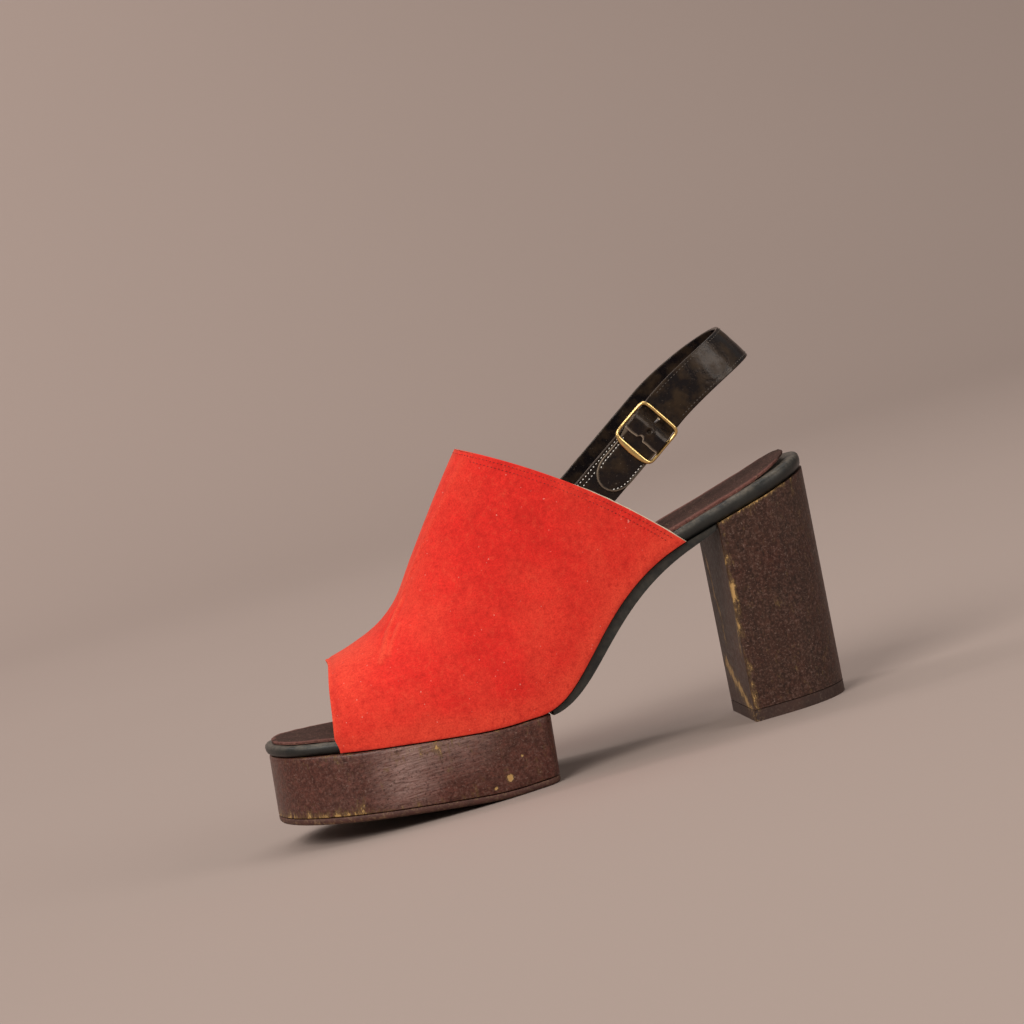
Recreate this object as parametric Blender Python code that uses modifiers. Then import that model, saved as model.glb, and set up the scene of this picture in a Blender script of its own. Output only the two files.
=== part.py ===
"""Platform heel: a left peep-toe slingback on a wooden platform and block heel.

The toe points to -X and the heel to +X. The outer side, with the buckle, is at -Y.
Lengths along the shoe start at the front of the last, heights start at the floor,
and the finished shoe is moved so that its origin is below the middle of its box.
"""

import bisect
import math
from collections import namedtuple

import bmesh
import bpy
import numpy as np
from mathutils import Matrix, Vector

# Last and footbed, in metres
LAST_LENGTH = 0.2338
BALL_WIDTH = 0.082
TOE_ROUND_LENGTH = 0.044
HEEL_ROUND_LENGTH = 0.030
END_FULLNESS = 2.2
FOOTBED_TOE_THICKNESS = 0.0044
FOOTBED_HEEL_THICKNESS = 0.0062
FOOTBED_EDGE_ROUND = 0.0020
TOE_OVERHANG = 0.0008
TOE_LIP_FADE_START = 0.0043
TOE_LIP_FADE_END = 0.0203
SOCK_THICKNESS = 0.0011
SOCK_EDGE_ROUND = 0.00033
SOCK_INSET = 0.0032
SOCK_END_INSET = 0.0058
SOCK_CURL_LENGTH = 0.030
SOCK_CURL_HEIGHT = 0.0024
CLEARANCE = 0.0003

# Platform and outsole
PLATFORM_THICKNESS = 0.0269
PLATFORM_REAR = 0.1066
PLATFORM_LEDGE = 0.0030
PLATFORM_RAKE = 0.0030
PLATFORM_CORNER = 0.0036
PLATFORM_EDGE = 0.0009
OUTSOLE_THICKNESS = 0.0026
OUTSOLE_EDGE = 0.0014
TOE_SPRING = 0.0110
ROCKER_START = 0.0936
ROCKER_BLEND = 0.10

# Shank, waist sole and heel
SHANK_START = 0.1016
SHANK_LOW_HANDLE = 0.024
SHANK_HIGH_HANDLE = 0.0445
SEAT_START = 0.1776
SEAT_HEIGHT = 0.0768
SEAT_PITCH = math.radians(14.7)
WAIST_END_THICKNESS = 0.0016
WAIST_MID_THICKNESS = 0.0044
WAIST_FULLNESS = 0.8
WAIST_INSET = 0.0012
WAIST_EDGE_ROUND = 0.0006
HEEL_BREAST_TOP = 0.1911
HEEL_BREAST_BOTTOM = 0.1853
HEEL_BACK_BOTTOM = 0.2271
HEEL_BOTTOM_WIDTH = 0.0552
HEEL_CORNER = 0.0008
TOP_LIFT_THICKNESS = 0.0045

# Vamp
VAMP_WALL = 0.0022
VAMP_FRONT = 0.0223
VAMP_REAR = 0.1766
VAMP_LIFT = 0.0005
VAMP_EASE = 0.0006
VAMP_EDGE_HEIGHT_SHARE = 0.15
VAMP_SIDE_HEIGHT_SHARE = 0.45
INSTEP_RISE = 0.1089
COLLAR_BOW = 0.0042
TOE_CUT_BACK = 0.0042
TOE_CUT_FORWARD = 0.0018
TOE_CUT_BACK_SPAN = 0.35
TOE_CUT_FORWARD_SPAN = 0.30
TOE_CUT_CORNER_SHARE = 0.95
TOE_CUT_FADE = 0.12

# Sling straps
STRAP_WIDTH = 0.0165
STRAP_THICKNESS = 0.0016
STRAP_CENTRE_X = 0.1466
STRAP_CENTRE_Z = 0.1046
STRAP_SIDE_PITCH = math.radians(34.0)
STRAP_BACK_PITCH = math.radians(32.5)
STRAP_BACK_REACH = 0.0853
STRAP_BACK_DROP = 0.0056
STRAP_DROP_POWER = 1.6
STRAP_ROUND_LENGTH = 0.040
STRAP_ROUND_FULLNESS = 2.3
STRAP_COLLAR_SHARE = 0.52
STRAP_HIDDEN_LENGTH = 0.013
BUCKLED_SHARE = 0.28
BACK_SHARE = 0.52
TAB_START = 0.0045
TAB_THICKNESS = 0.0014
STRAP_HOLE_RADIUS = 0.0015
PRONG_SLOT_LENGTH = 0.0076

# Buckle
BUCKLE_LOWER_BAR = 0.0236
BUCKLE_CENTRE_BAR = 0.0322
BUCKLE_UPPER_BAR = 0.0410
BUCKLE_BAR_RADIUS = 0.0010
BUCKLE_FRAME_HALF_DEPTH = 0.00075
BUCKLE_SIDE_HALF_WIDTH = 0.00065
BUCKLE_UPPER_HALF_WIDTH = 0.0008
BUCKLE_LOWER_HALF_WIDTH = 0.0014
BUCKLE_SQUARENESS = 0.24
BUCKLE_SIDE_LIFT = 0.0006
PRONG_RADIUS = 0.00065
PRONG_HOLE = 0.0370
PRONG_DIP = 0.0020
PRONG_TIP_GAP = 0.0016
PRONG_TIP_LIFT = 0.0012
FREE_END = 0.0275
FREE_END_DIP = 0.0007
STRAP_OVER_BAR_BEFORE = 0.0015
STRAP_OVER_BAR_AFTER = 0.0020
PRONG_HOLE_DIP = 0.0024
STRAP_UNDER_BAR_BEFORE = 0.0022
STRAP_UNDER_BAR_AFTER = 0.0010
STRAP_PAST_BUCKLE = 0.0050
STRAP_LIFT = 0.0006

# How finely the curved pieces are divided
STATION_STEP = 0.0055
END_STEP = 0.00045
END_TRIM = 0.00004
VAMP_LENGTHWISE_SEGMENTS = 22
VAMP_GIRTH_SEGMENTS = 24
LONG_STRAP_SEGMENTS = 44
SHORT_STRAP_SEGMENTS = 12
STRAP_CROSS_SEGMENTS = 2
BUCKLE_ROUND_SEGMENTS = 56
BUCKLE_SECTION_SEGMENTS = 8

Plan = namedtuple("Plan", "share centre outer inner")
# Width of the last along its length, in shares of half the ball width
PLAN_TABLE = (
    Plan(share=0.00, centre=0.085, outer=0.965, inner=0.945),
    Plan(share=0.11, centre=0.050, outer=0.985, inner=0.970),
    Plan(share=0.27, centre=0.010, outer=1.000, inner=1.000),
    Plan(share=0.37, centre=0.000, outer=0.935, inner=0.920),
    Plan(share=0.45, centre=0.000, outer=0.825, inner=0.805),
    Plan(share=0.54, centre=0.000, outer=0.745, inner=0.690),
    Plan(share=0.66, centre=0.000, outer=0.700, inner=0.655),
    Plan(share=0.78, centre=0.000, outer=0.702, inner=0.680),
    Plan(share=0.89, centre=0.000, outer=0.707, inner=0.700),
    Plan(share=1.00, centre=0.000, outer=0.700, inner=0.700),
)

Section = namedtuple("Section", "share ridge_x ridge_rise outer_fullness inner_fullness")
# The instep ridge from toe opening to throat, in shares of the last's length and the instep's rise,
# and how full each side of the section is
SECTION_TABLE = (
    Section(share=0.00, ridge_x=0.1228, ridge_rise=0.383, outer_fullness=2.25, inner_fullness=2.40),
    Section(share=0.12, ridge_x=0.1720, ridge_rise=0.410, outer_fullness=2.20, inner_fullness=2.40),
    Section(share=0.24, ridge_x=0.2210, ridge_rise=0.454, outer_fullness=2.12, inner_fullness=2.35),
    Section(share=0.35, ridge_x=0.2596, ridge_rise=0.518, outer_fullness=2.08, inner_fullness=2.30),
    Section(share=0.50, ridge_x=0.3090, ridge_rise=0.657, outer_fullness=2.12, inner_fullness=2.28),
    Section(share=0.68, ridge_x=0.3640, ridge_rise=0.818, outer_fullness=2.25, inner_fullness=2.34),
    Section(share=0.85, ridge_x=0.4085, ridge_rise=0.939, outer_fullness=2.40, inner_fullness=2.42),
    Section(share=1.00, ridge_x=0.4324, ridge_rise=1.000, outer_fullness=2.50, inner_fullness=2.50),
)

Finish = namedtuple("Finish", "colour roughness metallic")
FINISHES = {
    "suede": Finish(colour=(0.60, 0.025, 0.018), roughness=0.95, metallic=0.0),
    "stained_wood": Finish(colour=(0.050, 0.022, 0.018), roughness=0.45, metallic=0.0),
    "black_leather": Finish(colour=(0.018, 0.018, 0.016), roughness=0.42, metallic=0.0),
    "worn_lining": Finish(colour=(0.110, 0.060, 0.048), roughness=0.85, metallic=0.0),
    "patent": Finish(colour=(0.008, 0.007, 0.008), roughness=0.12, metallic=0.0),
    "brass": Finish(colour=(0.72, 0.50, 0.20), roughness=0.25, metallic=1.0),
    "steel": Finish(colour=(0.60, 0.60, 0.62), roughness=0.25, metallic=1.0),
    "rubber": Finish(colour=(0.045, 0.026, 0.021), roughness=0.70, metallic=0.0),
}


def read_table(rows, column, share):
    """Value of a column at a share, on a smooth curve through the table's rows."""
    shares = [row.share for row in rows]
    values = [getattr(row, column) for row in rows]
    slopes = np.gradient(values, shares)
    low = min(max(bisect.bisect_right(shares, share) - 1, 0), len(rows) - 2)
    gap = shares[low + 1] - shares[low]
    t = min(max((share - shares[low]) / gap, 0.0), 1.0)
    start = (1 + 2 * t) * (1 - t) ** 2 * values[low] + t * (1 - t) ** 2 * gap * slopes[low]
    end = t * t * (3 - 2 * t) * values[low + 1] + t * t * (t - 1) * gap * slopes[low + 1]
    return float(start + end)


def blend(value, start, end):
    """Smooth step from 0 at start to 1 at end."""
    t = min(max((value - start) / (end - start), 0.0), 1.0)
    return t * t * (3 - 2 * t)


def end_round(distance, length):
    """Share of the full width at a distance from a rounded end."""
    short = min(max(1 - distance / length, 0.0), 1.0)
    return (1 - short ** END_FULLNESS) ** (1 / END_FULLNESS)


def plan_side(x, side):
    """Y of the last's edge at a length x; side is -1 for the outer edge and 1 for the inner."""
    inside = min(max(x, 0.0), LAST_LENGTH)
    share = inside / LAST_LENGTH
    column = "outer" if side < 0 else "inner"
    rounding = end_round(inside, TOE_ROUND_LENGTH) * end_round(LAST_LENGTH - inside, HEEL_ROUND_LENGTH)
    centre = read_table(PLAN_TABLE, "centre", share)
    return BALL_WIDTH / 2 * (centre + side * read_table(PLAN_TABLE, column, share) * rounding)


def rocker(x):
    """Height of the platform's underside: flat below the ball, rising to the toe spring."""
    share = max((ROCKER_START - x) / (ROCKER_START + PLATFORM_LEDGE), 0.0)
    if share < 2 * ROCKER_BLEND:
        ramp = share * share / (4 * ROCKER_BLEND)
    else:
        ramp = share - ROCKER_BLEND
    return TOE_SPRING * ramp / (1 - ROCKER_BLEND)


def shank_curve():
    """Points of the shank's side curve, from the platform up to the heel seat."""
    p0 = np.array((SHANK_START, PLATFORM_THICKNESS))
    p1 = p0 + np.array((SHANK_LOW_HANDLE, 0.0))
    p3 = np.array((SEAT_START, SEAT_HEIGHT))
    p2 = p3 - SHANK_HIGH_HANDLE * np.array((math.cos(SEAT_PITCH), math.sin(SEAT_PITCH)))
    t = np.linspace(0, 1, 81)[:, None]
    return (1 - t) ** 3 * p0 + 3 * t * (1 - t) ** 2 * p1 + 3 * t * t * (1 - t) * p2 + t ** 3 * p3


SHANK_POINTS = shank_curve()


def bed(x):
    """Height of the line on which the footbed lies: platform top, shank and heel seat."""
    if x <= SHANK_START:
        return rocker(x) + PLATFORM_THICKNESS
    if x >= SEAT_START:
        return SEAT_HEIGHT + (x - SEAT_START) * math.tan(SEAT_PITCH)
    return float(np.interp(x, SHANK_POINTS[:, 0], SHANK_POINTS[:, 1]))


def upright(x, thickness):
    """Vertical measure of a thickness that is square to the sloping bed."""
    step = 0.0005
    slope = (bed(x + step) - bed(x - step)) / (2 * step)
    return thickness * math.sqrt(1 + slope * slope)


def footbed_thickness(x):
    share = min(max(x / LAST_LENGTH, 0.0), 1.0)
    return FOOTBED_TOE_THICKNESS + share * (FOOTBED_HEEL_THICKNESS - FOOTBED_TOE_THICKNESS)


def footbed_bottom(x):
    return bed(x) + CLEARANCE


def footbed_top(x):
    return footbed_bottom(x) + upright(x, footbed_thickness(x))


def stations(front, rear):
    """Lengths at which an outline has points: close together at its ends, and on one shared step between."""
    near_end = [END_STEP * k * k for k in range(int(math.sqrt(STATION_STEP / END_STEP)) + 2)]
    marks = [front + offset for offset in near_end] + [rear - offset for offset in near_end]
    first = math.ceil((marks[len(near_end) - 1] + STATION_STEP / 2) / STATION_STEP)
    last = math.floor((rear - near_end[-1] - STATION_STEP / 2) / STATION_STEP)
    marks += [STATION_STEP * k for k in range(first, last + 1)]
    return sorted(marks)


def plan_outline(front=END_TRIM, rear=LAST_LENGTH - END_TRIM, corner_front=0.0, corner_rear=0.0):
    """Closed outline between two lengths: outer edge from front to rear, then inner edge back."""
    outline = []
    for side in (-1, 1):
        edge = []
        for x in stations(front, rear):
            y = plan_side(x, side)
            for distance, corner in ((x - front, corner_front), (rear - x, corner_rear)):
                short = max(corner - distance, 0.0)
                y -= side * (corner - math.sqrt(corner * corner - short * short))
            edge.append(Vector((x, y, 0)))
        outline.extend(edge if side < 0 else reversed(edge))
    return outline


def grow(outline, margin):
    """Moves an outline outward by a margin, a number or a function of the length x."""
    grown = []
    count = len(outline)
    for i, point in enumerate(outline):
        along = outline[(i + 1) % count] - outline[i - 1]
        outward = Vector((along.y, -along.x, 0)).normalized()
        amount = margin(point.x) if callable(margin) else margin
        grown.append(point + outward * amount)
    return grown


def finish_of(name):
    """Material with the colour, roughness and metallic value of its table row."""
    if name in bpy.data.materials:
        return bpy.data.materials[name]
    finish = FINISHES[name]
    material = bpy.data.materials.new(name)
    material.use_nodes = True
    shader = material.node_tree.nodes["Principled BSDF"]
    shader.inputs["Base Color"].default_value = (*finish.colour, 1)
    shader.inputs["Roughness"].default_value = finish.roughness
    shader.inputs["Metallic"].default_value = finish.metallic
    return material


def add_object(name, mesh, finish, smooth_angle=40):
    """Puts a mesh into the shoe's collection, shaded smooth but for its sharp edges."""
    mesh.materials.append(finish_of(finish))
    mesh.shade_smooth()
    mesh.set_sharp_from_angle(angle=math.radians(smooth_angle))
    piece = bpy.data.objects.new(name, mesh)
    bpy.data.collections["platform_heel"].objects.link(piece)
    return piece


def loft(name, rings, finish):
    """Solid through closed rings of equal count, closed across its first and last ring."""
    bm = bmesh.new()
    layers = [[bm.verts.new(point) for point in ring] for ring in rings]
    count = len(rings[0])
    for lower, upper in zip(layers, layers[1:]):
        for i in range(count):
            j = (i + 1) % count
            bm.faces.new((lower[i], lower[j], upper[j], upper[i]))
    for i in range(count // 2 - 1):
        mate = count - 1 - i
        for layer in (layers[0], layers[-1]):
            bm.faces.new((layer[i], layer[i + 1], layer[mate - 1], layer[mate]))
    bmesh.ops.recalc_face_normals(bm, faces=bm.faces)
    mesh = bpy.data.meshes.new(name)
    bm.to_mesh(mesh)
    bm.free()
    return add_object(name, mesh, finish)


def closed_sweep(name, sections, finish):
    """Ring-shaped solid through closed sections that go once around."""
    bm = bmesh.new()
    layers = [[bm.verts.new(point) for point in section] for section in sections]
    count = len(sections[0])
    for k, layer in enumerate(layers):
        after = layers[(k + 1) % len(layers)]
        for i in range(count):
            j = (i + 1) % count
            bm.faces.new((layer[i], layer[j], after[j], after[i]))
    bmesh.ops.recalc_face_normals(bm, faces=bm.faces)
    mesh = bpy.data.meshes.new(name)
    bm.to_mesh(mesh)
    bm.free()
    return add_object(name, mesh, finish)


def shell(name, surface, along, across, thickness, finish):
    """Open grid laid on a surface(u, v) and thickened to its inner side."""
    bm = bmesh.new()
    bmesh.ops.create_grid(bm, x_segments=along, y_segments=across, size=0.5)
    for vertex in bm.verts:
        vertex.co = surface(vertex.co.x + 0.5, vertex.co.y + 0.5)
    mesh = bpy.data.meshes.new(name)
    bm.to_mesh(mesh)
    bm.free()
    piece = add_object(name, mesh, finish)
    solidify = piece.modifiers.new("wall", "SOLIDIFY")
    solidify.thickness = thickness
    solidify.offset = -1
    return piece


def cutter(name, mesh_call, matrix):
    """Guide solid made by a primitive, placed by a matrix and left out of the shoe."""
    bm = bmesh.new()
    mesh_call(bm)
    bmesh.ops.transform(bm, matrix=matrix, verts=bm.verts)
    mesh = bpy.data.meshes.new(name)
    bm.to_mesh(mesh)
    bm.free()
    guide = bpy.data.objects.new(name, mesh)
    guide.hide_render = True
    guide.display_type = "WIRE"
    bpy.data.collections["cutters"].objects.link(guide)
    return guide


def combine(piece, guide, operation):
    """Boolean modifier of a piece with a guide solid."""
    modifier = piece.modifiers.new(guide.name, "BOOLEAN")
    modifier.operation = operation
    modifier.object = guide


def slab_rings(outline, bottom, top, round_bottom, round_top, steps=3):
    """Rings of a slab whose lower and upper edges are rounded, between two height functions of x."""
    rings = []
    for radius, height, start in ((round_bottom, bottom, -90), (round_top, top, 0)):
        for k in range(steps + 1 if radius else 1):
            angle = math.radians(start + 90 * k / steps)
            inset = radius * (1 - math.cos(angle))
            lift = radius * (math.sin(angle) + (1 if start < 0 else -1)) if radius else 0.0
            ring = [Vector((p.x, p.y, height(p.x) + upright(p.x, lift))) for p in grow(outline, -inset)]
            rings.append(ring)
    return rings


def platform_rings(top_gap, bottom_gap, edge_top, edge_bottom):
    """Rings of a platform layer; the gaps are its distances below the bed and above the floor side."""
    outline = plan_outline(rear=PLATFORM_REAR - PLATFORM_LEDGE, corner_rear=PLATFORM_CORNER)
    widened = grow(outline, PLATFORM_LEDGE)
    depth_bottom = PLATFORM_THICKNESS - bottom_gap
    shoulder = edge_bottom * (1 - math.sqrt(0.5))
    levels = (
        (depth_bottom, edge_bottom),
        (depth_bottom - shoulder, shoulder),
        (depth_bottom - edge_bottom, 0.0),
        (top_gap + edge_top, 0.0),
        (top_gap, edge_top),
    )
    rings = []
    for depth, inset in levels:
        ring = []
        for point in grow(widened, -inset):
            z = rocker(point.x) + PLATFORM_THICKNESS - depth
            ring.append(Vector((point.x - PLATFORM_RAKE * depth / PLATFORM_THICKNESS, point.y, z)))
        rings.append(ring)
    return rings


def build_platform():
    """Wooden forefoot block and the thin outsole below it, with the same outline."""
    block = platform_rings(0.0, OUTSOLE_THICKNESS + CLEARANCE, PLATFORM_EDGE, PLATFORM_EDGE / 2)
    loft("platform", block, "stained_wood")
    sole = platform_rings(PLATFORM_THICKNESS - OUTSOLE_THICKNESS, 0.0, PLATFORM_EDGE / 2, OUTSOLE_EDGE)
    loft("outsole", sole, "rubber")


def toe_lip(x):
    """How far the footbed reaches out past the last: over the platform's edge in the toe opening only."""
    return (PLATFORM_LEDGE + TOE_OVERHANG) * (1 - blend(x, TOE_LIP_FADE_START, TOE_LIP_FADE_END))


def build_footbed():
    """Wrapped board from toe to heel, with rounded edges, and the worn lining on it."""
    outline = grow(plan_outline(), toe_lip)
    rings = slab_rings(outline, footbed_bottom, footbed_top, FOOTBED_EDGE_ROUND, FOOTBED_EDGE_ROUND)
    loft("footbed", rings, "black_leather")

    def sock_bottom(x):
        curl = blend(x, LAST_LENGTH - SOCK_CURL_LENGTH, LAST_LENGTH) ** 1.5
        return footbed_top(x) + CLEARANCE + SOCK_CURL_HEIGHT * curl

    def sock_top(x):
        return sock_bottom(x) + upright(x, SOCK_THICKNESS)

    def sock_inset(x):
        return -(SOCK_INSET + (SOCK_END_INSET - SOCK_INSET) * blend(x, SEAT_START, LAST_LENGTH))

    rings = slab_rings(grow(outline, sock_inset), sock_bottom, sock_top, 0.0, SOCK_EDGE_ROUND, steps=1)
    loft("sock_lining", rings, "worn_lining")


def build_waist():
    """Thin sole below the footbed's arch, from the platform to the heel's breast."""
    front = PLATFORM_REAR + 2 * CLEARANCE
    rear = HEEL_BREAST_TOP - 2 * CLEARANCE

    def thickness(x):
        share = min(max((x - front) / (rear - front), 0.0), 1.0)
        bulge = math.sin(math.pi * share) ** WAIST_FULLNESS
        return WAIST_END_THICKNESS + (WAIST_MID_THICKNESS - WAIST_END_THICKNESS) * bulge

    def waist_bottom(x):
        return bed(x) - upright(x, thickness(x))

    margin = VAMP_WALL - WAIST_INSET
    outline = grow(plan_outline(front=front + margin, rear=rear - margin), margin)
    rings = slab_rings(outline, waist_bottom, bed, WAIST_EDGE_ROUND, 0.0)
    loft("waist_sole", rings, "black_leather")


def heel_rings(heights):
    """Rings of the block heel: its seat follows the footbed's edge, its foot is further forward."""
    top = plan_outline(front=HEEL_BREAST_TOP, corner_front=HEEL_CORNER)
    seat_width = plan_side(HEEL_BREAST_TOP, 1) - plan_side(HEEL_BREAST_TOP, -1)
    rings = []
    for height in heights:
        ring = []
        for point in top:
            share_along = (point.x - HEEL_BREAST_TOP) / (LAST_LENGTH - HEEL_BREAST_TOP)
            foot_x = HEEL_BREAST_BOTTOM + share_along * (HEEL_BACK_BOTTOM - HEEL_BREAST_BOTTOM)
            foot = Vector((foot_x, point.y * HEEL_BOTTOM_WIDTH / seat_width, 0))
            seat = Vector((point.x, point.y, bed(point.x)))
            share = 1.0 if height is None else height / seat.z
            ring.append(foot.lerp(seat, share))
        rings.append(ring)
    return rings


def build_heel():
    """Block heel and its top lift."""
    loft("heel_block", heel_rings((TOP_LIFT_THICKNESS + CLEARANCE, SEAT_HEIGHT / 2, None)), "stained_wood")
    loft("heel_top_lift", heel_rings((0.0, TOP_LIFT_THICKNESS)), "rubber")


def toe_cut(around):
    """How far the toe opening's edge is set back on the inner side, or forward on the outer side."""
    back = TOE_CUT_BACK * blend(0.5 - around, 0.0, TOE_CUT_BACK_SPAN)
    forward = TOE_CUT_FORWARD * blend(around - 0.5, 0.0, TOE_CUT_FORWARD_SPAN)
    return back - forward * (1 - blend(around, TOE_CUT_CORNER_SHARE, 1.0))


def vamp_point(around, along):
    """Point on the vamp's outside: around runs from inner to outer edge, along from toe to collar."""
    shift = toe_cut(around) * (1 - blend(along, 0.0, TOE_CUT_FADE))
    feather_x = VAMP_FRONT + (VAMP_REAR - VAMP_FRONT) * along + shift
    feather = Vector((feather_x, 0, bed(feather_x) + VAMP_LIFT))
    ridge_x = LAST_LENGTH * read_table(SECTION_TABLE, "ridge_x", along) + shift
    ridge_z = PLATFORM_THICKNESS + INSTEP_RISE * read_table(SECTION_TABLE, "ridge_rise", along)
    ridge = Vector((ridge_x, 0, ridge_z))
    angle = math.pi * around
    side = 1 if around < 0.5 else -1
    fullness = read_table(SECTION_TABLE, "inner_fullness" if side > 0 else "outer_fullness", along)
    height = max(math.sin(angle), 0.0) ** (2 / fullness)
    width = abs(math.cos(angle)) ** (2 / fullness)
    rise = ridge - feather
    square = Vector((rise.z, 0, -rise.x)).normalized()
    point = feather + rise * height + square * COLLAR_BOW * along * 4 * height * (1 - height)
    low = plan_side(point.x, side)
    high = plan_side(feather_x, side)
    edge = low + (high - low) * blend(height, VAMP_EDGE_HEIGHT_SHARE, VAMP_SIDE_HEIGHT_SHARE)
    point.y = (edge + side * (VAMP_WALL + VAMP_EASE)) * width
    return point


def build_vamp():
    """Suede vamp: one wall, open at the toe, at the collar and underneath."""
    shell("vamp", vamp_point, VAMP_GIRTH_SEGMENTS, VAMP_LENGTHWISE_SEGMENTS, VAMP_WALL, "suede")


def collar_half_width(side):
    """Half of the room between the vamp's walls, where the straps' upper edges leave the collar."""
    around = math.asin(STRAP_COLLAR_SHARE ** (SECTION_TABLE[-1].outer_fullness / 2)) / math.pi
    return abs(vamp_point(around if side > 0 else 1 - around, 1.0).y) - VAMP_WALL - CLEARANCE


OUTER_FACE = collar_half_width(-1) - 2 * CLEARANCE
MEDIAL_FACE = collar_half_width(1) - 2 * CLEARANCE
INNER_FACE = OUTER_FACE - STRAP_THICKNESS
BAR_CENTRE = OUTER_FACE
LOOP_RADIUS = BUCKLE_BAR_RADIUS + CLEARANCE + STRAP_THICKNESS
LOWER_BAR_CENTRE = OUTER_FACE + TAB_THICKNESS + CLEARANCE + BUCKLE_FRAME_HALF_DEPTH
FREE_END_HEIGHT = BAR_CENTRE + LOOP_RADIUS + CLEARANCE
UPPER_BAR_CENTRE = OUTER_FACE + 3 * CLEARANCE + BUCKLE_FRAME_HALF_DEPTH + STRAP_LIFT

Pass = namedtuple("Pass", "along face")
# Inner face of the long strap where it goes over the buckle's centre bar and under its upper bar
FREE_END_PATH = (
    Pass(along=FREE_END, face=FREE_END_HEIGHT - FREE_END_DIP),
    Pass(along=BUCKLE_CENTRE_BAR - STRAP_OVER_BAR_BEFORE, face=FREE_END_HEIGHT),
    Pass(along=BUCKLE_CENTRE_BAR + STRAP_OVER_BAR_AFTER, face=FREE_END_HEIGHT),
    Pass(along=PRONG_HOLE, face=FREE_END_HEIGHT - PRONG_HOLE_DIP),
    Pass(along=BUCKLE_UPPER_BAR - STRAP_UNDER_BAR_BEFORE, face=INNER_FACE + STRAP_LIFT),
    Pass(along=BUCKLE_UPPER_BAR + STRAP_UNDER_BAR_AFTER, face=INNER_FACE + STRAP_LIFT),
    Pass(along=BUCKLE_UPPER_BAR + STRAP_PAST_BUCKLE, face=INNER_FACE),
)


def strap_place(along, across, outward, pitch=STRAP_SIDE_PITCH, side=-1):
    """Place beside the ankle: along the strap from the collar, across its width, outward from the middle."""
    centre_x = STRAP_CENTRE_X + along * math.cos(STRAP_SIDE_PITCH)
    centre_z = STRAP_CENTRE_Z + along * math.sin(STRAP_SIDE_PITCH)
    return Vector((centre_x + across * math.sin(pitch), side * outward, centre_z - across * math.cos(pitch)))


def long_strap_centre(share):
    """Outer-face line of the long strap: free end, outer side, round the back, inner side into the vamp."""
    round_start = STRAP_BACK_REACH - STRAP_ROUND_LENGTH
    buckle_end = FREE_END_PATH[-1].along
    inner_end = -STRAP_HIDDEN_LENGTH
    if share < BUCKLED_SHARE:
        along = FREE_END + (buckle_end - FREE_END) * share / BUCKLED_SHARE
        face = np.interp(along, [p.along for p in FREE_END_PATH], [p.face for p in FREE_END_PATH])
        return along, -(float(face) + STRAP_THICKNESS)
    if share < BUCKLED_SHARE + BACK_SHARE:
        angle = math.pi * ((share - BUCKLED_SHARE) / BACK_SHARE - 0.5)
        power = 2 / STRAP_ROUND_FULLNESS
        start = min(buckle_end, round_start)
        along = start + (STRAP_BACK_REACH - start) * math.cos(angle) ** power
        reach = OUTER_FACE if angle < 0 else MEDIAL_FACE
        return along, reach * math.copysign(abs(math.sin(angle)) ** power, angle)
    start = min(buckle_end, round_start)
    inner_start = BUCKLED_SHARE + BACK_SHARE
    along = start + (inner_end - start) * (share - inner_start) / (1 - inner_start)
    return along, MEDIAL_FACE


def long_strap_point(share, across):
    along, outward = long_strap_centre(share)
    start = FREE_END_PATH[-1].along
    beyond = max(along - start, 0.0) / (STRAP_BACK_REACH - start)
    pitch = STRAP_SIDE_PITCH + (STRAP_BACK_PITCH - STRAP_SIDE_PITCH) * beyond
    drop = STRAP_BACK_DROP * beyond ** STRAP_DROP_POWER
    return strap_place(along, drop + STRAP_WIDTH * (0.5 - across), -outward, pitch)


def cross_cylinder(bm, radius, depth):
    bmesh.ops.create_cone(bm, cap_ends=True, segments=16, radius1=radius, radius2=radius, depth=depth)


def strap_matrix(along, across, outward, axis):
    """Matrix that puts a solid at a strap place, its Z along the strap's width or outward."""
    lengthwise = Vector((math.cos(STRAP_SIDE_PITCH), 0, math.sin(STRAP_SIDE_PITCH)))
    widthwise = Vector((math.sin(STRAP_SIDE_PITCH), 0, -math.cos(STRAP_SIDE_PITCH)))
    outwards = Vector((0, -1, 0))
    columns = (lengthwise, outwards, widthwise) if axis == "width" else (lengthwise, -widthwise, outwards)
    turn = Matrix(columns).transposed().to_4x4()
    return Matrix.Translation(strap_place(along, across, outward)) @ turn


def build_long_strap():
    """Sling strap with its free end through the buckle and its prong hole."""
    strap = shell("long_strap", long_strap_point, LONG_STRAP_SEGMENTS, STRAP_CROSS_SEGMENTS, STRAP_THICKNESS,
                  "patent")
    hole = cutter("prong_hole", lambda bm: cross_cylinder(bm, STRAP_HOLE_RADIUS, STRAP_WIDTH),
                  strap_matrix(PRONG_HOLE, 0, FREE_END_HEIGHT, "outward"))
    combine(strap, hole, "DIFFERENCE")


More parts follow.
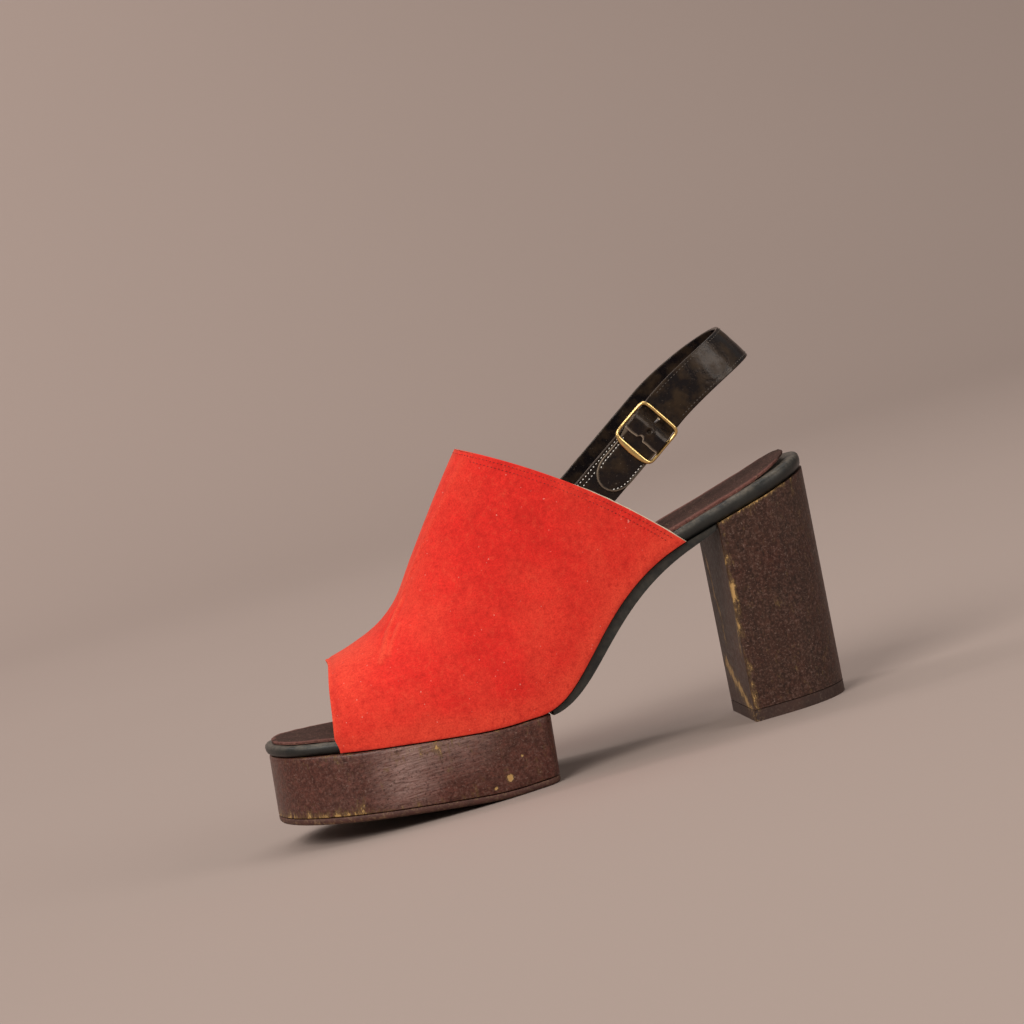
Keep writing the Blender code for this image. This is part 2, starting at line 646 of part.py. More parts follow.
def build_short_strap():
    """Strap from the vamp, looped over the centre bar and folded back to a round end."""
    def base(share, across):
        along = -STRAP_HIDDEN_LENGTH + (BUCKLE_CENTRE_BAR + STRAP_HIDDEN_LENGTH) * share
        return strap_place(along, STRAP_WIDTH * (0.5 - across), OUTER_FACE)

    strap = shell("short_strap", base, SHORT_STRAP_SEGMENTS, STRAP_CROSS_SEGMENTS, STRAP_THICKNESS, "patent")
    half = STRAP_WIDTH / 2
    length = BUCKLE_CENTRE_BAR - TAB_START

    def tab_outline(bm):
        circle = bmesh.ops.create_circle(bm, cap_ends=True, segments=24, radius=half)
        for vertex in circle["verts"]:
            if vertex.co.x > 0:
                vertex.co.x = length - half
        rim = bmesh.ops.extrude_face_region(bm, geom=list(bm.faces))
        lifted = [item for item in rim["geom"] if isinstance(item, bmesh.types.BMVert)]
        bmesh.ops.translate(bm, vec=(0, 0, TAB_THICKNESS + STRAP_THICKNESS / 2), verts=lifted)
        bmesh.ops.recalc_face_normals(bm, faces=bm.faces)

    tab = cutter("strap_tab", tab_outline,
                 strap_matrix(TAB_START + half, 0, OUTER_FACE - STRAP_THICKNESS / 2, "outward"))
    loop = cutter("strap_loop", lambda bm: cross_cylinder(bm, LOOP_RADIUS, STRAP_WIDTH),
                  strap_matrix(BUCKLE_CENTRE_BAR, 0, BAR_CENTRE, "width"))
    eye = cutter("bar_hole", lambda bm: cross_cylinder(bm, BUCKLE_BAR_RADIUS + CLEARANCE, STRAP_WIDTH * 2),
                 strap_matrix(BUCKLE_CENTRE_BAR, 0, BAR_CENTRE, "width"))
    slot_size = Vector((PRONG_SLOT_LENGTH, PRONG_RADIUS * 2 + CLEARANCE * 4, LOOP_RADIUS * 4))

    def slot_box(bm):
        bmesh.ops.create_cube(bm, size=1.0)
        bmesh.ops.scale(bm, vec=slot_size, verts=bm.verts)

    slot_centre = BUCKLE_CENTRE_BAR + CLEARANCE * 2
    slot = cutter("prong_slot", slot_box, strap_matrix(slot_centre, 0, BAR_CENTRE, "outward"))
    combine(strap, tab, "UNION")
    combine(strap, loop, "UNION")
    combine(strap, eye, "DIFFERENCE")
    combine(strap, slot, "DIFFERENCE")


def rod(name, points, radius, finish):
    """Round rod along points, with filled ends."""
    curve = bpy.data.curves.new(name, "CURVE")
    curve.dimensions = "3D"
    curve.bevel_depth = radius
    curve.bevel_resolution = 2
    curve.use_fill_caps = True
    spline = curve.splines.new("POLY")
    spline.points.add(len(points) - 1)
    for knot, point in zip(spline.points, points):
        knot.co = (*point, 1)
    curve.materials.append(finish_of(finish))
    piece = bpy.data.objects.new(name, curve)
    bpy.data.collections["platform_heel"].objects.link(piece)
    return piece


def frame_section(share):
    """Place, outward lift and half width of the buckle frame at a share of the way round."""
    angle = 2 * math.pi * share
    half_span = STRAP_WIDTH / 2 + CLEARANCE + BUCKLE_SIDE_HALF_WIDTH
    middle = (BUCKLE_LOWER_BAR + BUCKLE_UPPER_BAR) / 2
    reach = (BUCKLE_UPPER_BAR - BUCKLE_LOWER_BAR) / 2
    along_share = math.copysign(abs(math.cos(angle)) ** BUCKLE_SQUARENESS, math.cos(angle))
    across = half_span * math.copysign(abs(math.sin(angle)) ** BUCKLE_SQUARENESS, math.sin(angle))
    lower = max(-along_share, 0.0) ** 3 * (1 - abs(across / half_span) ** 2)
    upper = max(along_share, 0.0) ** 3
    along = middle + reach * along_share - lower * BUCKLE_LOWER_HALF_WIDTH / 2
    lift = BAR_CENTRE + BUCKLE_FRAME_HALF_DEPTH + BUCKLE_SIDE_LIFT
    lift += (LOWER_BAR_CENTRE - lift) * max(-along_share, 0.0) ** 2
    lift += (UPPER_BAR_CENTRE - lift) * upper
    width = BUCKLE_SIDE_HALF_WIDTH + (BUCKLE_LOWER_HALF_WIDTH - BUCKLE_SIDE_HALF_WIDTH) * lower
    width += (BUCKLE_UPPER_HALF_WIDTH - BUCKLE_SIDE_HALF_WIDTH) * upper
    return along, across, lift, width


def build_buckle():
    """Brass frame with a broad curved lower bar, its centre bar and the steel prong."""
    places = [frame_section(k / BUCKLE_ROUND_SEGMENTS) for k in range(BUCKLE_ROUND_SEGMENTS)]
    sections = []
    for k, (along, across, lift, width) in enumerate(places):
        before, after = places[k - 1], places[(k + 1) % BUCKLE_ROUND_SEGMENTS]
        tangent = Vector((after[0] - before[0], after[1] - before[1], 0)).normalized()
        outward = Vector((tangent.y, -tangent.x, 0))
        section = []
        for i in range(BUCKLE_SECTION_SEGMENTS):
            turn = 2 * math.pi * i / BUCKLE_SECTION_SEGMENTS
            offset = outward * width * math.cos(turn)
            depth = lift + BUCKLE_FRAME_HALF_DEPTH * math.sin(turn)
            section.append(strap_place(along + offset.x, across + offset.y, depth))
        sections.append(section)
    closed_sweep("buckle_frame", sections, "brass")

    bar_half = STRAP_WIDTH / 2 - CLEARANCE
    rod("buckle_bar", [strap_place(BUCKLE_CENTRE_BAR, k * bar_half, BAR_CENTRE) for k in (-1, 1)],
        BUCKLE_BAR_RADIUS, "brass")

    eye = BUCKLE_BAR_RADIUS + CLEARANCE + PRONG_RADIUS
    points = []
    for degrees in (-160, -130, -100, -70, -40, -10):
        turn = math.radians(degrees)
        along = BUCKLE_CENTRE_BAR + eye * math.cos(turn)
        points.append(strap_place(along, 0, BAR_CENTRE + eye * math.sin(turn)))
    points.append(strap_place(PRONG_HOLE - CLEARANCE, 0, FREE_END_HEIGHT - PRONG_DIP))
    points.append(strap_place(BUCKLE_UPPER_BAR - PRONG_TIP_GAP, 0, UPPER_BAR_CENTRE + PRONG_TIP_LIFT))
    rod("buckle_prong", points, PRONG_RADIUS, "steel")


def centre_on_floor(collection):
    """Moves every piece so that the origin is on the floor, below the middle of the shoe's box."""
    bpy.context.view_layer.update()
    depsgraph = bpy.context.evaluated_depsgraph_get()
    points = []
    for piece in collection.objects:
        evaluated = piece.evaluated_get(depsgraph)
        points.extend(evaluated.matrix_world @ vertex.co for vertex in evaluated.to_mesh().vertices)
        evaluated.to_mesh_clear()
    low = np.min(points, axis=0)
    high = np.max(points, axis=0)
    shift = Vector((-(low[0] + high[0]) / 2, -(low[1] + high[1]) / 2, -low[2]))
    for name in (collection.name, "cutters"):
        for piece in bpy.data.collections[name].objects:
            piece.location += shift


def main():
    for leftover in list(bpy.data.objects):
        bpy.data.objects.remove(leftover)
    for name in ("platform_heel", "cutters"):
        bpy.context.scene.collection.children.link(bpy.data.collections.new(name))
    build_platform()
    build_footbed()
    build_waist()
    build_heel()
    build_vamp()
    build_long_strap()
    build_short_strap()
    build_buckle()
    centre_on_floor(bpy.data.collections["platform_heel"])


main()
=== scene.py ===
"""Platform heel: the dressed pieces of a left peep-toe slingback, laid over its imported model."""

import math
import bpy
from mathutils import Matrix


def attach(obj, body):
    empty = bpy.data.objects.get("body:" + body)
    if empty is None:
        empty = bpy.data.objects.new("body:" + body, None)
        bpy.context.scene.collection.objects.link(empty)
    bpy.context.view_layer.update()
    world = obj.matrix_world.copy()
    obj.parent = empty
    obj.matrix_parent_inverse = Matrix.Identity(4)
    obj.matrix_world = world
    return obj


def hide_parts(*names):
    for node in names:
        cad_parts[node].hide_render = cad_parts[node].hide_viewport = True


bl_info = {
    "name": "Platform Heel",
    "version": (1, 0, 0),
    "blender": (4, 5, 0),
    "location": "View3D > Sidebar > Shoe",
    "description": "Suede vamp, wooden platform and heel, patent sling straps and buckle of a platform heel",
    "category": "Object",
}

from collections import namedtuple

import bmesh
import bpy
import numpy as np
from bpy.props import FloatProperty, FloatVectorProperty, PointerProperty
from bpy.types import Operator, Panel, PropertyGroup
from mathutils import Matrix, Vector, noise

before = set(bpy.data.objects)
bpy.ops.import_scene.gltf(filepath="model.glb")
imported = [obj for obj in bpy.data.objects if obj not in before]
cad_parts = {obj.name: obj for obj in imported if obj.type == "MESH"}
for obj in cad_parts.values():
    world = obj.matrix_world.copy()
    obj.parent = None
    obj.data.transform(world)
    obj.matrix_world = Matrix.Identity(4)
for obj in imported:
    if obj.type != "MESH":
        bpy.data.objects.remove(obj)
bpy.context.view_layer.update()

# Place of the last's front end, and its main sizes, in metres
LAST_FRONT = Vector((-0.11398, -0.0007, 0.0))
LAST_LENGTH = 0.2338
HALF_BALL_WIDTH = 0.041
TOE_ROUND_LENGTH = 0.044
HEEL_ROUND_LENGTH = 0.030
END_FULLNESS = 2.2
GAP = 0.0003

# Platform, arch and heel seat
PLATFORM_THICKNESS = 0.0269
PLATFORM_REAR = 0.1066
PLATFORM_LEDGE = 0.0030
PLATFORM_RAKE = 0.0030
PLATFORM_CORNER = 0.0036
OUTSOLE_ROUND = 0.0014
TOE_SPRING = 0.0110
ROCKER_START = 0.0936
ROCKER_BLEND = 0.10
SHANK_START = 0.1016
SHANK_FRONT_HANDLE = 0.024
SHANK_REAR_HANDLE = 0.0445
SEAT_START = 0.1776
SEAT_HEIGHT = 0.0768
SEAT_PITCH = math.radians(14.7)
SLOPE_STEP = 0.0008

# Footbed and its lining
FOOTBED_FLAT = 0.0050
FOOTBED_TOE = 0.0044
FOOTBED_HEEL_GAIN = 0.0018
TOE_LIP = 0.0038
TOE_LIP_FADE = (0.0043, 0.0203)
LINING_HEEL_INSET = 0.0058
LINING_CURL = 0.0024
LINING_CURL_LENGTH = 0.030
LINING_FRAY = 0.00035
TORN_FRONT = 0.172
TORN_REAR = 0.2195
TORN_INSET = 0.0030
TORN_HEEL_INSET = 0.0046
TORN_RAGGED_FROM = 0.205
TORN_THICKNESS = 0.0011

# Waist sole and heel
WAIST_INSET = 0.0012
WAIST_EDGE = 0.0016
WAIST_CROWN = 0.0028
HEEL_BREAST_TOP = 0.1911
HEEL_BREAST_BOTTOM = 0.1853
HEEL_BACK_BOTTOM = 0.2271
HEEL_BOTTOM_WIDTH = 0.0552
HEEL_CORNER = 0.0012
HEEL_CORNER_Y = -0.0285
TOP_LIFT = 0.0045

# Vamp, and the arch of its toe opening seen from the front
VAMP_FRONT = 0.0223
VAMP_REAR = 0.1766
VAMP_WALL = 0.0022
VAMP_OUTSET = 0.0028
VAMP_LIFT = 0.0005
VAMP_GRID = (190, 176)
VAMP_LINING_GRID = (140, 110)
INSTEP_RISE = 0.1089
COLLAR_BOW = 0.0042
EDGE_SHIFT = (0.15, 0.45)
TOE_CUT_BACK = 0.0042
TOE_CUT_FORWARD = 0.0018
TOE_CUT_FADE = 0.12
TOE_ARCH_FOOT = 0.035
TOE_ARCH_RISE = 0.034
TOE_ARCH_HALF_WIDTH = 0.036
TOE_ARCH_SETBACK = 0.0064
COLLAR_BAND = 0.03
COLLAR_STITCH = (0.0009, 0.00034)
COLLAR_STITCH_DEPTH = -0.00012

# Straps: the sling's line, then the places of the buckle along it and outward
STRAP_CENTRE = Vector((0.1466, 0.0, 0.1046))
STRAP_PITCH = math.radians(34.0)
STRAP_BACK_PITCH = math.radians(32.5)
STRAP_BACK_REACH = 0.0853
STRAP_BACK_DROP = 0.0056
STRAP_DROP_POWER = 1.6
STRAP_ROUND_LENGTH = 0.040
STRAP_ROUND_FULLNESS = 2.3
STRAP_INNER_END = -0.013
OUTER_FACE = 0.02580
MEDIAL_FACE = 0.02481
LOWER_BAR = 0.0236
CENTRE_BAR = 0.0322
UPPER_BAR = 0.0410
PRONG_HOLE = 0.0370
BUCKLE_END = 0.0460
FREE_END = 0.0275
LOWER_BAR_FACE = 0.02825
UPPER_BAR_FACE = 0.02805
SIDE_BAR_LIFT = 0.00135
BUCKLE_SQUARENESS = 0.24
BUCKLE_HALF_DEPTH = 0.00078
LOWER_BAR_BOW = 0.0007
LOWER_BAR_HALF_WIDTH = 0.0014
UPPER_BAR_HALF_WIDTH = 0.0008
BAR_RADIUS = 0.0010
PRONG_RADIUS = 0.00065
PRONG_HOLE_FACE = 0.0270
PRONG_TIP_FACE = 0.02925
PRONG_TIP_BACK = 0.0016

# Short strap's tab: its start, its edges across the sling, how far its end is rounded, and its loop
TAB_START = 0.0045
TAB_LEFT = -0.0066
TAB_RIGHT = 0.00825
TAB_MIDDLE = (TAB_LEFT + TAB_RIGHT) / 2
TAB_HALF_WIDTH = (TAB_RIGHT - TAB_LEFT) / 2
TAB_END_ROUND = 0.0092
TAB_END_FULLNESS = 2.1
TAB_THICKNESS = 0.0014
LOOP_RADIUS = 0.0029

# Free end of the long strap: places along the sling and outward places of its inner face
FREE_END_MARKS = (0.0275, 0.0307, 0.0342, 0.0370, 0.0388, 0.0420, 0.0460)
FREE_END_FACES = (0.0283, 0.0290, 0.0290, 0.0266, 0.0248, 0.0248, 0.0242)
OLD_HOLE_RADIUS = 0.0013
SPARE_HOLE = Vector((0.0056, 0.0002))
STRAP_EDGE_ROUNDS = (0.0003, 0.0004)
STRAP_STITCH_LENGTH = 0.00085
DARK_STITCH = (0.00105, 0.00042)
SEAM_INSET = 0.0014

# Studio: the floor's size, the bend of its back up to a wall, and the camera
FLOOR_HALF_WIDTH = 6.0
FLOOR_LENGTH = 7.0
FLOOR_FRONT = -3.0
WALL_START = 1.6
WALL_BEND = 1.6
CAMERA_PLACE = Vector((-0.16488, -1.5883, 0.2117))
CAMERA_FORWARD = Vector((0.1046, 0.9923, -0.0666))
CAMERA_ROLL = math.radians(15.48)
SENSOR_WIDTH = 36.0
FOCAL_SHARE = 4000.0 / 1024.0

# The last seen from above, by shares of its length and of half its width at the ball
PlanRow = namedtuple("PlanRow", "share centre outer inner")
PLAN = (
    PlanRow(0.00, 0.085, 0.965, 0.945),
    PlanRow(0.11, 0.050, 0.985, 0.970),
    PlanRow(0.27, 0.010, 1.000, 1.000),
    PlanRow(0.37, 0.000, 0.935, 0.920),
    PlanRow(0.45, 0.000, 0.825, 0.805),
    PlanRow(0.54, 0.000, 0.745, 0.690),
    PlanRow(0.66, 0.000, 0.700, 0.655),
    PlanRow(0.78, 0.000, 0.702, 0.680),
    PlanRow(0.89, 0.000, 0.707, 0.700),
    PlanRow(1.00, 0.000, 0.700, 0.700),
)

# The vamp's sections from the toe to the collar: place and rise of the ridge, fullness of the sides
SectionRow = namedtuple("SectionRow", "share ridge_x ridge_rise outer_fullness inner_fullness")
SECTIONS = (
    SectionRow(0.00, 0.1228, 0.383, 2.25, 2.40),
    SectionRow(0.12, 0.1720, 0.410, 2.20, 2.40),
    SectionRow(0.24, 0.2210, 0.454, 2.12, 2.35),
    SectionRow(0.35, 0.2596, 0.518, 2.08, 2.30),
    SectionRow(0.50, 0.3090, 0.657, 2.12, 2.28),
    SectionRow(0.68, 0.3640, 0.818, 2.25, 2.34),
    SectionRow(0.85, 0.4085, 0.939, 2.40, 2.42),
    SectionRow(1.00, 0.4324, 1.000, 2.50, 2.50),
)

# Knocks on the platform's outer side, and wide shallow patches of painted sheen along its top edge: place
# from the last's front, reach and depth of wear; on the wide patches the depth is painted sheen
PLATFORM_KNOCKS_AND_SHEEN = (
    ((0.0838, -0.0414, 0.0079), 0.0020, 1.3),
    ((0.0770, -0.0424, 0.0056), 0.0013, 1.2),
    ((0.0905, -0.0405, 0.0150), 0.0009, 1.2),
    # Wide shallow patches at the top edge: painted sheen, laid on as wear
    ((0.0447, -0.0430, 0.0318), 0.0100, 0.30),
    ((0.0565, -0.0436, 0.0305), 0.0110, 0.34),
    ((0.0700, -0.0430, 0.0290), 0.0090, 0.26),
    ((0.0236, -0.0390, 0.0118), 0.0080, 0.30),
    ((0.0160, -0.0352, 0.0125), 0.0060, 0.30),
)

# Patches of painted sheen on the platform's outer side, where light falls on it, in the same way
PLATFORM_PAINTED_SHEEN = (
    ((0.0480, -0.0435, 0.0290), 0.0200, 0.62),
    ((0.0440, -0.0430, 0.0160), 0.0170, 0.45),
    ((0.0690, -0.0430, 0.0275), 0.0170, 0.40),
)

# Chipped streaks on the heel's breast: corners across and up, reach and depth of wear
BREAST_STREAKS = (
    (((0.018, 0.062), (0.014, 0.047), (0.009, 0.039), (0.011, 0.030)), 0.0052, 0.62),
    (((-0.0285, 0.055), (-0.0270, 0.040), (-0.0215, 0.0286)), 0.0046, 0.62),
    (((0.019, 0.0215), (0.006, 0.0144), (-0.0075, 0.0102), (-0.0206, 0.0040), (-0.028, 0.0)), 0.0060, 0.80),
    (((-0.0285, 0.022), (-0.0285, 0.0)), 0.0026, 0.62),
)

# Raised creases on the vamp's outer side: corners of the line, width, height and how much their nap is made
# paler, rubbed and with a painted highlight
VAMP_CREASES = (
    (((0.0634, -0.0098, 0.0842), (0.0597, -0.0110, 0.0804), (0.0548, -0.0163, 0.0748),
      (0.0509, -0.0237, 0.0690), (0.0479, -0.0287, 0.0645)), 0.0012, 0.00048, 0.95),
    (((0.0593, -0.0192, 0.0757), (0.0548, -0.0229, 0.0711), (0.0514, -0.0277, 0.0663)),
     0.0010, 0.00034, 0.70),
    (((0.1013, -0.0118, 0.1305), (0.0885, -0.0099, 0.1163), (0.0764, -0.0075, 0.1019),
      (0.0664, -0.0062, 0.0894), (0.0600, -0.0100, 0.0820)), 0.0016, 0.00016, 0.35),
)

CURVE_SAMPLES = np.linspace(0.0, 1.0, 401)


def smooth_column(rows, name):
    """Samples of a smooth curve through one column of a table."""
    shares = np.array([row.share for row in rows])
    values = np.array([getattr(row, name) for row in rows])
    slopes = np.gradient(values, shares)
    low = np.clip(np.searchsorted(shares, CURVE_SAMPLES, side="right") - 1, 0, len(rows) - 2)
    gap = shares[low + 1] - shares[low]
    t = (CURVE_SAMPLES - shares[low]) / gap
    value = (1 + 2 * t) * (1 - t) ** 2 * values[low] + t * (1 - t) ** 2 * gap * slopes[low]
    return value + t * t * (3 - 2 * t) * values[low + 1] + t * t * (t - 1) * gap * slopes[low + 1]


COLUMNS = {name: smooth_column(rows, name) for rows in (PLAN, SECTIONS) for name in rows[0]._fields[1:]}


def column(name, share):
    return float(np.interp(share, CURVE_SAMPLES, COLUMNS[name]))


def blend(value, start, end):
    """Smooth step from 0 at start to 1 at end."""
    t = min(max((value - start) / (end - start), 0.0), 1.0)
    return t * t * (3 - 2 * t)


def end_round(distance, length):
    """Share of the full width at a distance from a rounded end."""
    short = min(max(1 - distance / length, 0.0), 1.0)
    return (1 - short ** END_FULLNESS) ** (1 / END_FULLNESS)


def last_edge(x, side):
    """Y of the last's edge at a length x; side is -1 for the outer edge and 1 for the inner."""
    inside = min(max(x, 0.0), LAST_LENGTH)
    share = inside / LAST_LENGTH
    rounding = end_round(inside, TOE_ROUND_LENGTH) * end_round(LAST_LENGTH - inside, HEEL_ROUND_LENGTH)
    width = column("outer" if side < 0 else "inner", share)
    return HALF_BALL_WIDTH * (column("centre", share) + side * width * rounding)


def rocker(x):
    """Height of the platform's underside, rising to the toe spring."""
    share = max((ROCKER_START - x) / (ROCKER_START + PLATFORM_LEDGE), 0.0)
    ramp = share * share / (4 * ROCKER_BLEND) if share < 2 * ROCKER_BLEND else share - ROCKER_BLEND
    return TOE_SPRING * ramp / (1 - ROCKER_BLEND)


def shank_curve():
    """Side curve of the arch, from the platform up to the heel seat."""
    front = np.array((SHANK_START, PLATFORM_THICKNESS))
    rear = np.array((SEAT_START, SEAT_HEIGHT))
    low = front + np.array((SHANK_FRONT_HANDLE, 0.0))
    high = rear - SHANK_REAR_HANDLE * np.array((math.cos(SEAT_PITCH), math.sin(SEAT_PITCH)))
    t = np.linspace(0, 1, 161)[:, None]
    return (1 - t) ** 3 * front + 3 * t * (1 - t) ** 2 * low + 3 * t * t * (1 - t) * high + t ** 3 * rear


SHANK = shank_curve()


def bed(x):
    """Height of the line on which the footbed lies."""
    if x <= SHANK_START:
        return rocker(x) + PLATFORM_THICKNESS
    if x >= SEAT_START:
        return SEAT_HEIGHT + (x - SEAT_START) * math.tan(SEAT_PITCH)
    return float(np.interp(x, SHANK[:, 0], SHANK[:, 1]))


def upright(x, thickness):
    """Vertical measure of a thickness that is square to the sloping bed."""
    slope = (bed(x + SLOPE_STEP) - bed(x - SLOPE_STEP)) / (2 * SLOPE_STEP)
    return thickness * math.sqrt(1 + slope * slope)


def footbed_bottom(x):
    return bed(x) + GAP


def footbed_top(x):
    share = min(max(x / LAST_LENGTH, 0.0), 1.0)
    return footbed_bottom(x) + upright(x, FOOTBED_TOE + FOOTBED_HEEL_GAIN * share)


def toe_cut(around):
    """How far the toe opening's edge is set back on the inner side, or forward on the outer side."""
    back = TOE_CUT_BACK * blend(0.5 - around, 0.0, 0.35)
    return back - TOE_CUT_FORWARD * blend(around - 0.5, 0.0, 0.30) * (1 - blend(around, 0.95, 1.0))


def toe_edge(co):
    """Length x of the toe opening's edge on a point's side and at its height."""
    turn = math.atan2(max(co.z - TOE_ARCH_FOOT, 0.0) / TOE_ARCH_RISE, co.y / TOE_ARCH_HALF_WIDTH)
    return VAMP_FRONT + TOE_ARCH_SETBACK * math.sin(turn) + toe_cut(turn / math.pi)


def vamp_point(around, along):
    """Point on the vamp's outside: around runs from inner to outer edge, along from toe to collar."""
    shift = toe_cut(around) * (1 - blend(along, 0.0, TOE_CUT_FADE))
    feather_x = VAMP_FRONT + (VAMP_REAR - VAMP_FRONT) * along + shift
    feather = Vector((feather_x, 0, bed(feather_x) + VAMP_LIFT))
    ridge = Vector((LAST_LENGTH * column("ridge_x", along) + shift, 0,
                    PLATFORM_THICKNESS + INSTEP_RISE * column("ridge_rise", along)))
    angle = math.pi * around
    side = 1 if around < 0.5 else -1
    fullness = column("inner_fullness" if side > 0 else "outer_fullness", along)
    height = max(math.sin(angle), 0.0) ** (2 / fullness)
    width = abs(math.cos(angle)) ** (2 / fullness)
    rise = ridge - feather
    square = Vector((rise.z, 0, -rise.x)).normalized()
    point = feather + rise * height + square * COLLAR_BOW * along * 4 * height * (1 - height)
    low = last_edge(point.x, side)
    high = last_edge(feather_x, side)
    edge = low + (high - low) * blend(height, *EDGE_SHIFT)
    point.y = (edge + side * VAMP_OUTSET) * width
    return point


def vamp_normal(around, along, step=0.004):
    """Outward direction of the vamp's surface."""
    u0, u1 = max(around - step, 0.0), min(around + step, 1.0)
    v0, v1 = max(along - step, 0.0), min(along + step, 1.0)
    over = vamp_point(u1, along) - vamp_point(u0, along)
    back = vamp_point(around, v1) - vamp_point(around, v0)
    return over.cross(back).normalized()


# Sizes and colours that can be changed

def length(name, description, default):
    return FloatProperty(name=name, description=description, default=default, min=0.0, unit="LENGTH",
                         precision=5)


def shade(name, description, default):
    return FloatVectorProperty(name=name, description=description, default=default, size=3,
                               subtype="COLOR", min=0.0, max=1.0)


class ShoeSizes(PropertyGroup):
    """Sizes of the pieces that are laid over the solids."""

    wood_edge: length("Wood edge", "Rounding of the platform's edges", 0.0009)
    outsole_thickness: length("Outsole", "Thickness of the outsole", 0.0026)
    footbed_round: length("Footbed edge", "Rounding of the footbed's wrapped edge", 0.0020)
    sock_thickness: length("Lining", "Thickness of the lining on the footbed", 0.0010)
    sock_inset: length("Lining inset", "Distance of the lining from the footbed's edge", 0.0032)
    suede_thickness: length("Suede", "Thickness of the suede", 0.0013)
    lining_thickness: length("Vamp lining", "Thickness of the vamp's lining", 0.0007)
    strap_width: length("Strap width", "Width of the sling straps", 0.0165)
    strap_thickness: length("Strap thickness", "Thickness of the sling straps", 0.0016)
    stitch_pitch: length("Stitch pitch", "Distance from one stitch to the next", 0.0016)
    stitch_width: length("Stitch width", "Width of the white stitches' thread", 0.00044)
    wire: length("Buckle wire", "Half width of the buckle's side bars", 0.00065)


class ShoeColours(PropertyGroup):
    """Colours of the finishes."""

    suede: shade("Suede", "Colour of the suede", (0.70, 0.026, 0.019))
    wood: shade("Wood", "Colour of the platform's stained wood", (0.078, 0.0245, 0.0168))
    heel_wood: shade("Heel wood", "Colour of the heel's stained wood", (0.042, 0.0155, 0.0093))
    bare_wood: shade("Bare wood", "Colour of the wood where the stain is worn off", (0.45, 0.27, 0.10))
    leather: shade("Leather", "Colour of the footbed's black leather", (0.014, 0.014, 0.013))
    sock: shade("Lining", "Colour of the footbed's lining", (0.150, 0.062, 0.050))
    cream: shade("Vamp lining", "Colour of the vamp's lining", (0.62, 0.52, 0.38))
    patent: shade("Patent", "Colour of the patent straps", (0.006, 0.005, 0.006))
    thread: shade("Thread", "Colour of the straps' white stitches", (0.92, 0.90, 0.84))
    brass: shade("Brass", "Colour of the buckle", (0.78, 0.55, 0.22))
    steel: shade("Steel", "Colour of the prong", (0.62, 0.62, 0.64))
    floor: shade("Floor", "Colour of the floor and the wall behind", (0.33, 0.262, 0.232))


# Building of meshes

def resampled(points, step):
    """The same closed outline with evenly spaced points."""
    closed = [p for k, p in enumerate(points) if (p - points[k - 1]).length > 1e-7]
    closed.append(closed[0])
    marks = marks_along(closed)
    count = max(int(marks[-1] / step), 12)
    places = np.linspace(0, marks[-1], count, endpoint=False)
    xs = np.interp(places, marks, [p.x for p in closed])
    ys = np.interp(places, marks, [p.y for p in closed])
    return [Vector((x, y, 0.0)) for x, y in zip(xs, ys)]


def marks_along(points):
    """Length from the first of some points to each of them."""
    marks = [0.0]
    for before, after in zip(points, points[1:]):
        marks.append(marks[-1] + (after - before).length)
    return marks


def outline_of(front=0.0, rear=LAST_LENGTH, corner_front=0.0, corner_rear=0.0, step=0.0014):
    """Closed outline of the last between two lengths, with its square ends' corners rounded."""
    xs = front + (rear - front) * (1 - np.cos(np.linspace(0, math.pi, 260))) / 2
    outline = []
    for side in (-1, 1):
        edge = []
        for x in xs:
            y = last_edge(x, side)
            for distance, corner in ((x - front, corner_front), (rear - x, corner_rear)):
                short = min(max(corner - distance, 0.0), corner)
                y -= side * (corner - math.sqrt(corner * corner - short * short))
            edge.append(Vector((x, y, 0.0)))
        outline.extend(edge if side < 0 else reversed(edge))
    return resampled(outline, step)


def grown(outline, margin):
    """The outline moved outward by a margin, a number or a function of the length x."""
    moved = []
    for i, point in enumerate(outline):
        along = outline[(i + 1) % len(outline)] - outline[i - 1]
        outward = Vector((along.y, -along.x, 0)).normalized()
        moved.append(point + outward * (margin(point.x) if callable(margin) else margin))
    return moved


def slab(outline, thickness, rounds, steps, segments=3, fine=()):
    """Flat closed slab over an outline, its low and high rims rounded, cut into strips to be bent.

    Steps are the strips' widths along x, y and z, 0 for none; fine adds rows of axis, start, end and step.
    """
    bm = bmesh.new()
    rim = [bm.verts.new(p) for p in outline]
    base = bmesh.ops.contextual_create(bm, geom=rim)["faces"]
    lifted = bmesh.ops.extrude_face_region(bm, geom=base)["geom"]
    top = [item for item in lifted if isinstance(item, bmesh.types.BMVert)]
    bmesh.ops.translate(bm, vec=(0, 0, thickness), verts=top)
    bmesh.ops.recalc_face_normals(bm, faces=bm.faces)
    for level, radius in zip((0.0, thickness), rounds):
        if radius:
            edges = [e for e in bm.edges if all(abs(v.co.z - level) < 1e-7 for v in e.verts)]
            bmesh.ops.bevel(bm, geom=edges, offset=radius, offset_type="OFFSET", segments=segments,
                            profile=0.5, affect="EDGES", clamp_overlap=False, material=-1)
    cuts = set()
    for axis, step in enumerate(steps):
        if step:
            values = [v.co[axis] for v in bm.verts]
            places = np.arange(math.ceil(min(values) / step) * step, max(values) - 1e-5, step)
            cuts.update((axis, round(float(place), 6)) for place in places)
    for axis, low, high, step in fine:
        cuts.update((axis, round(float(place), 6)) for place in np.arange(low, high, step))
    for axis, place in sorted(cuts):
        normal = [float(k == axis) for k in range(3)]
        geom = bm.verts[:] + bm.edges[:] + bm.faces[:]
        bmesh.ops.bisect_plane(bm, geom=geom, dist=1e-6, plane_co=[place * n for n in normal],
                               plane_no=normal)
    return bm


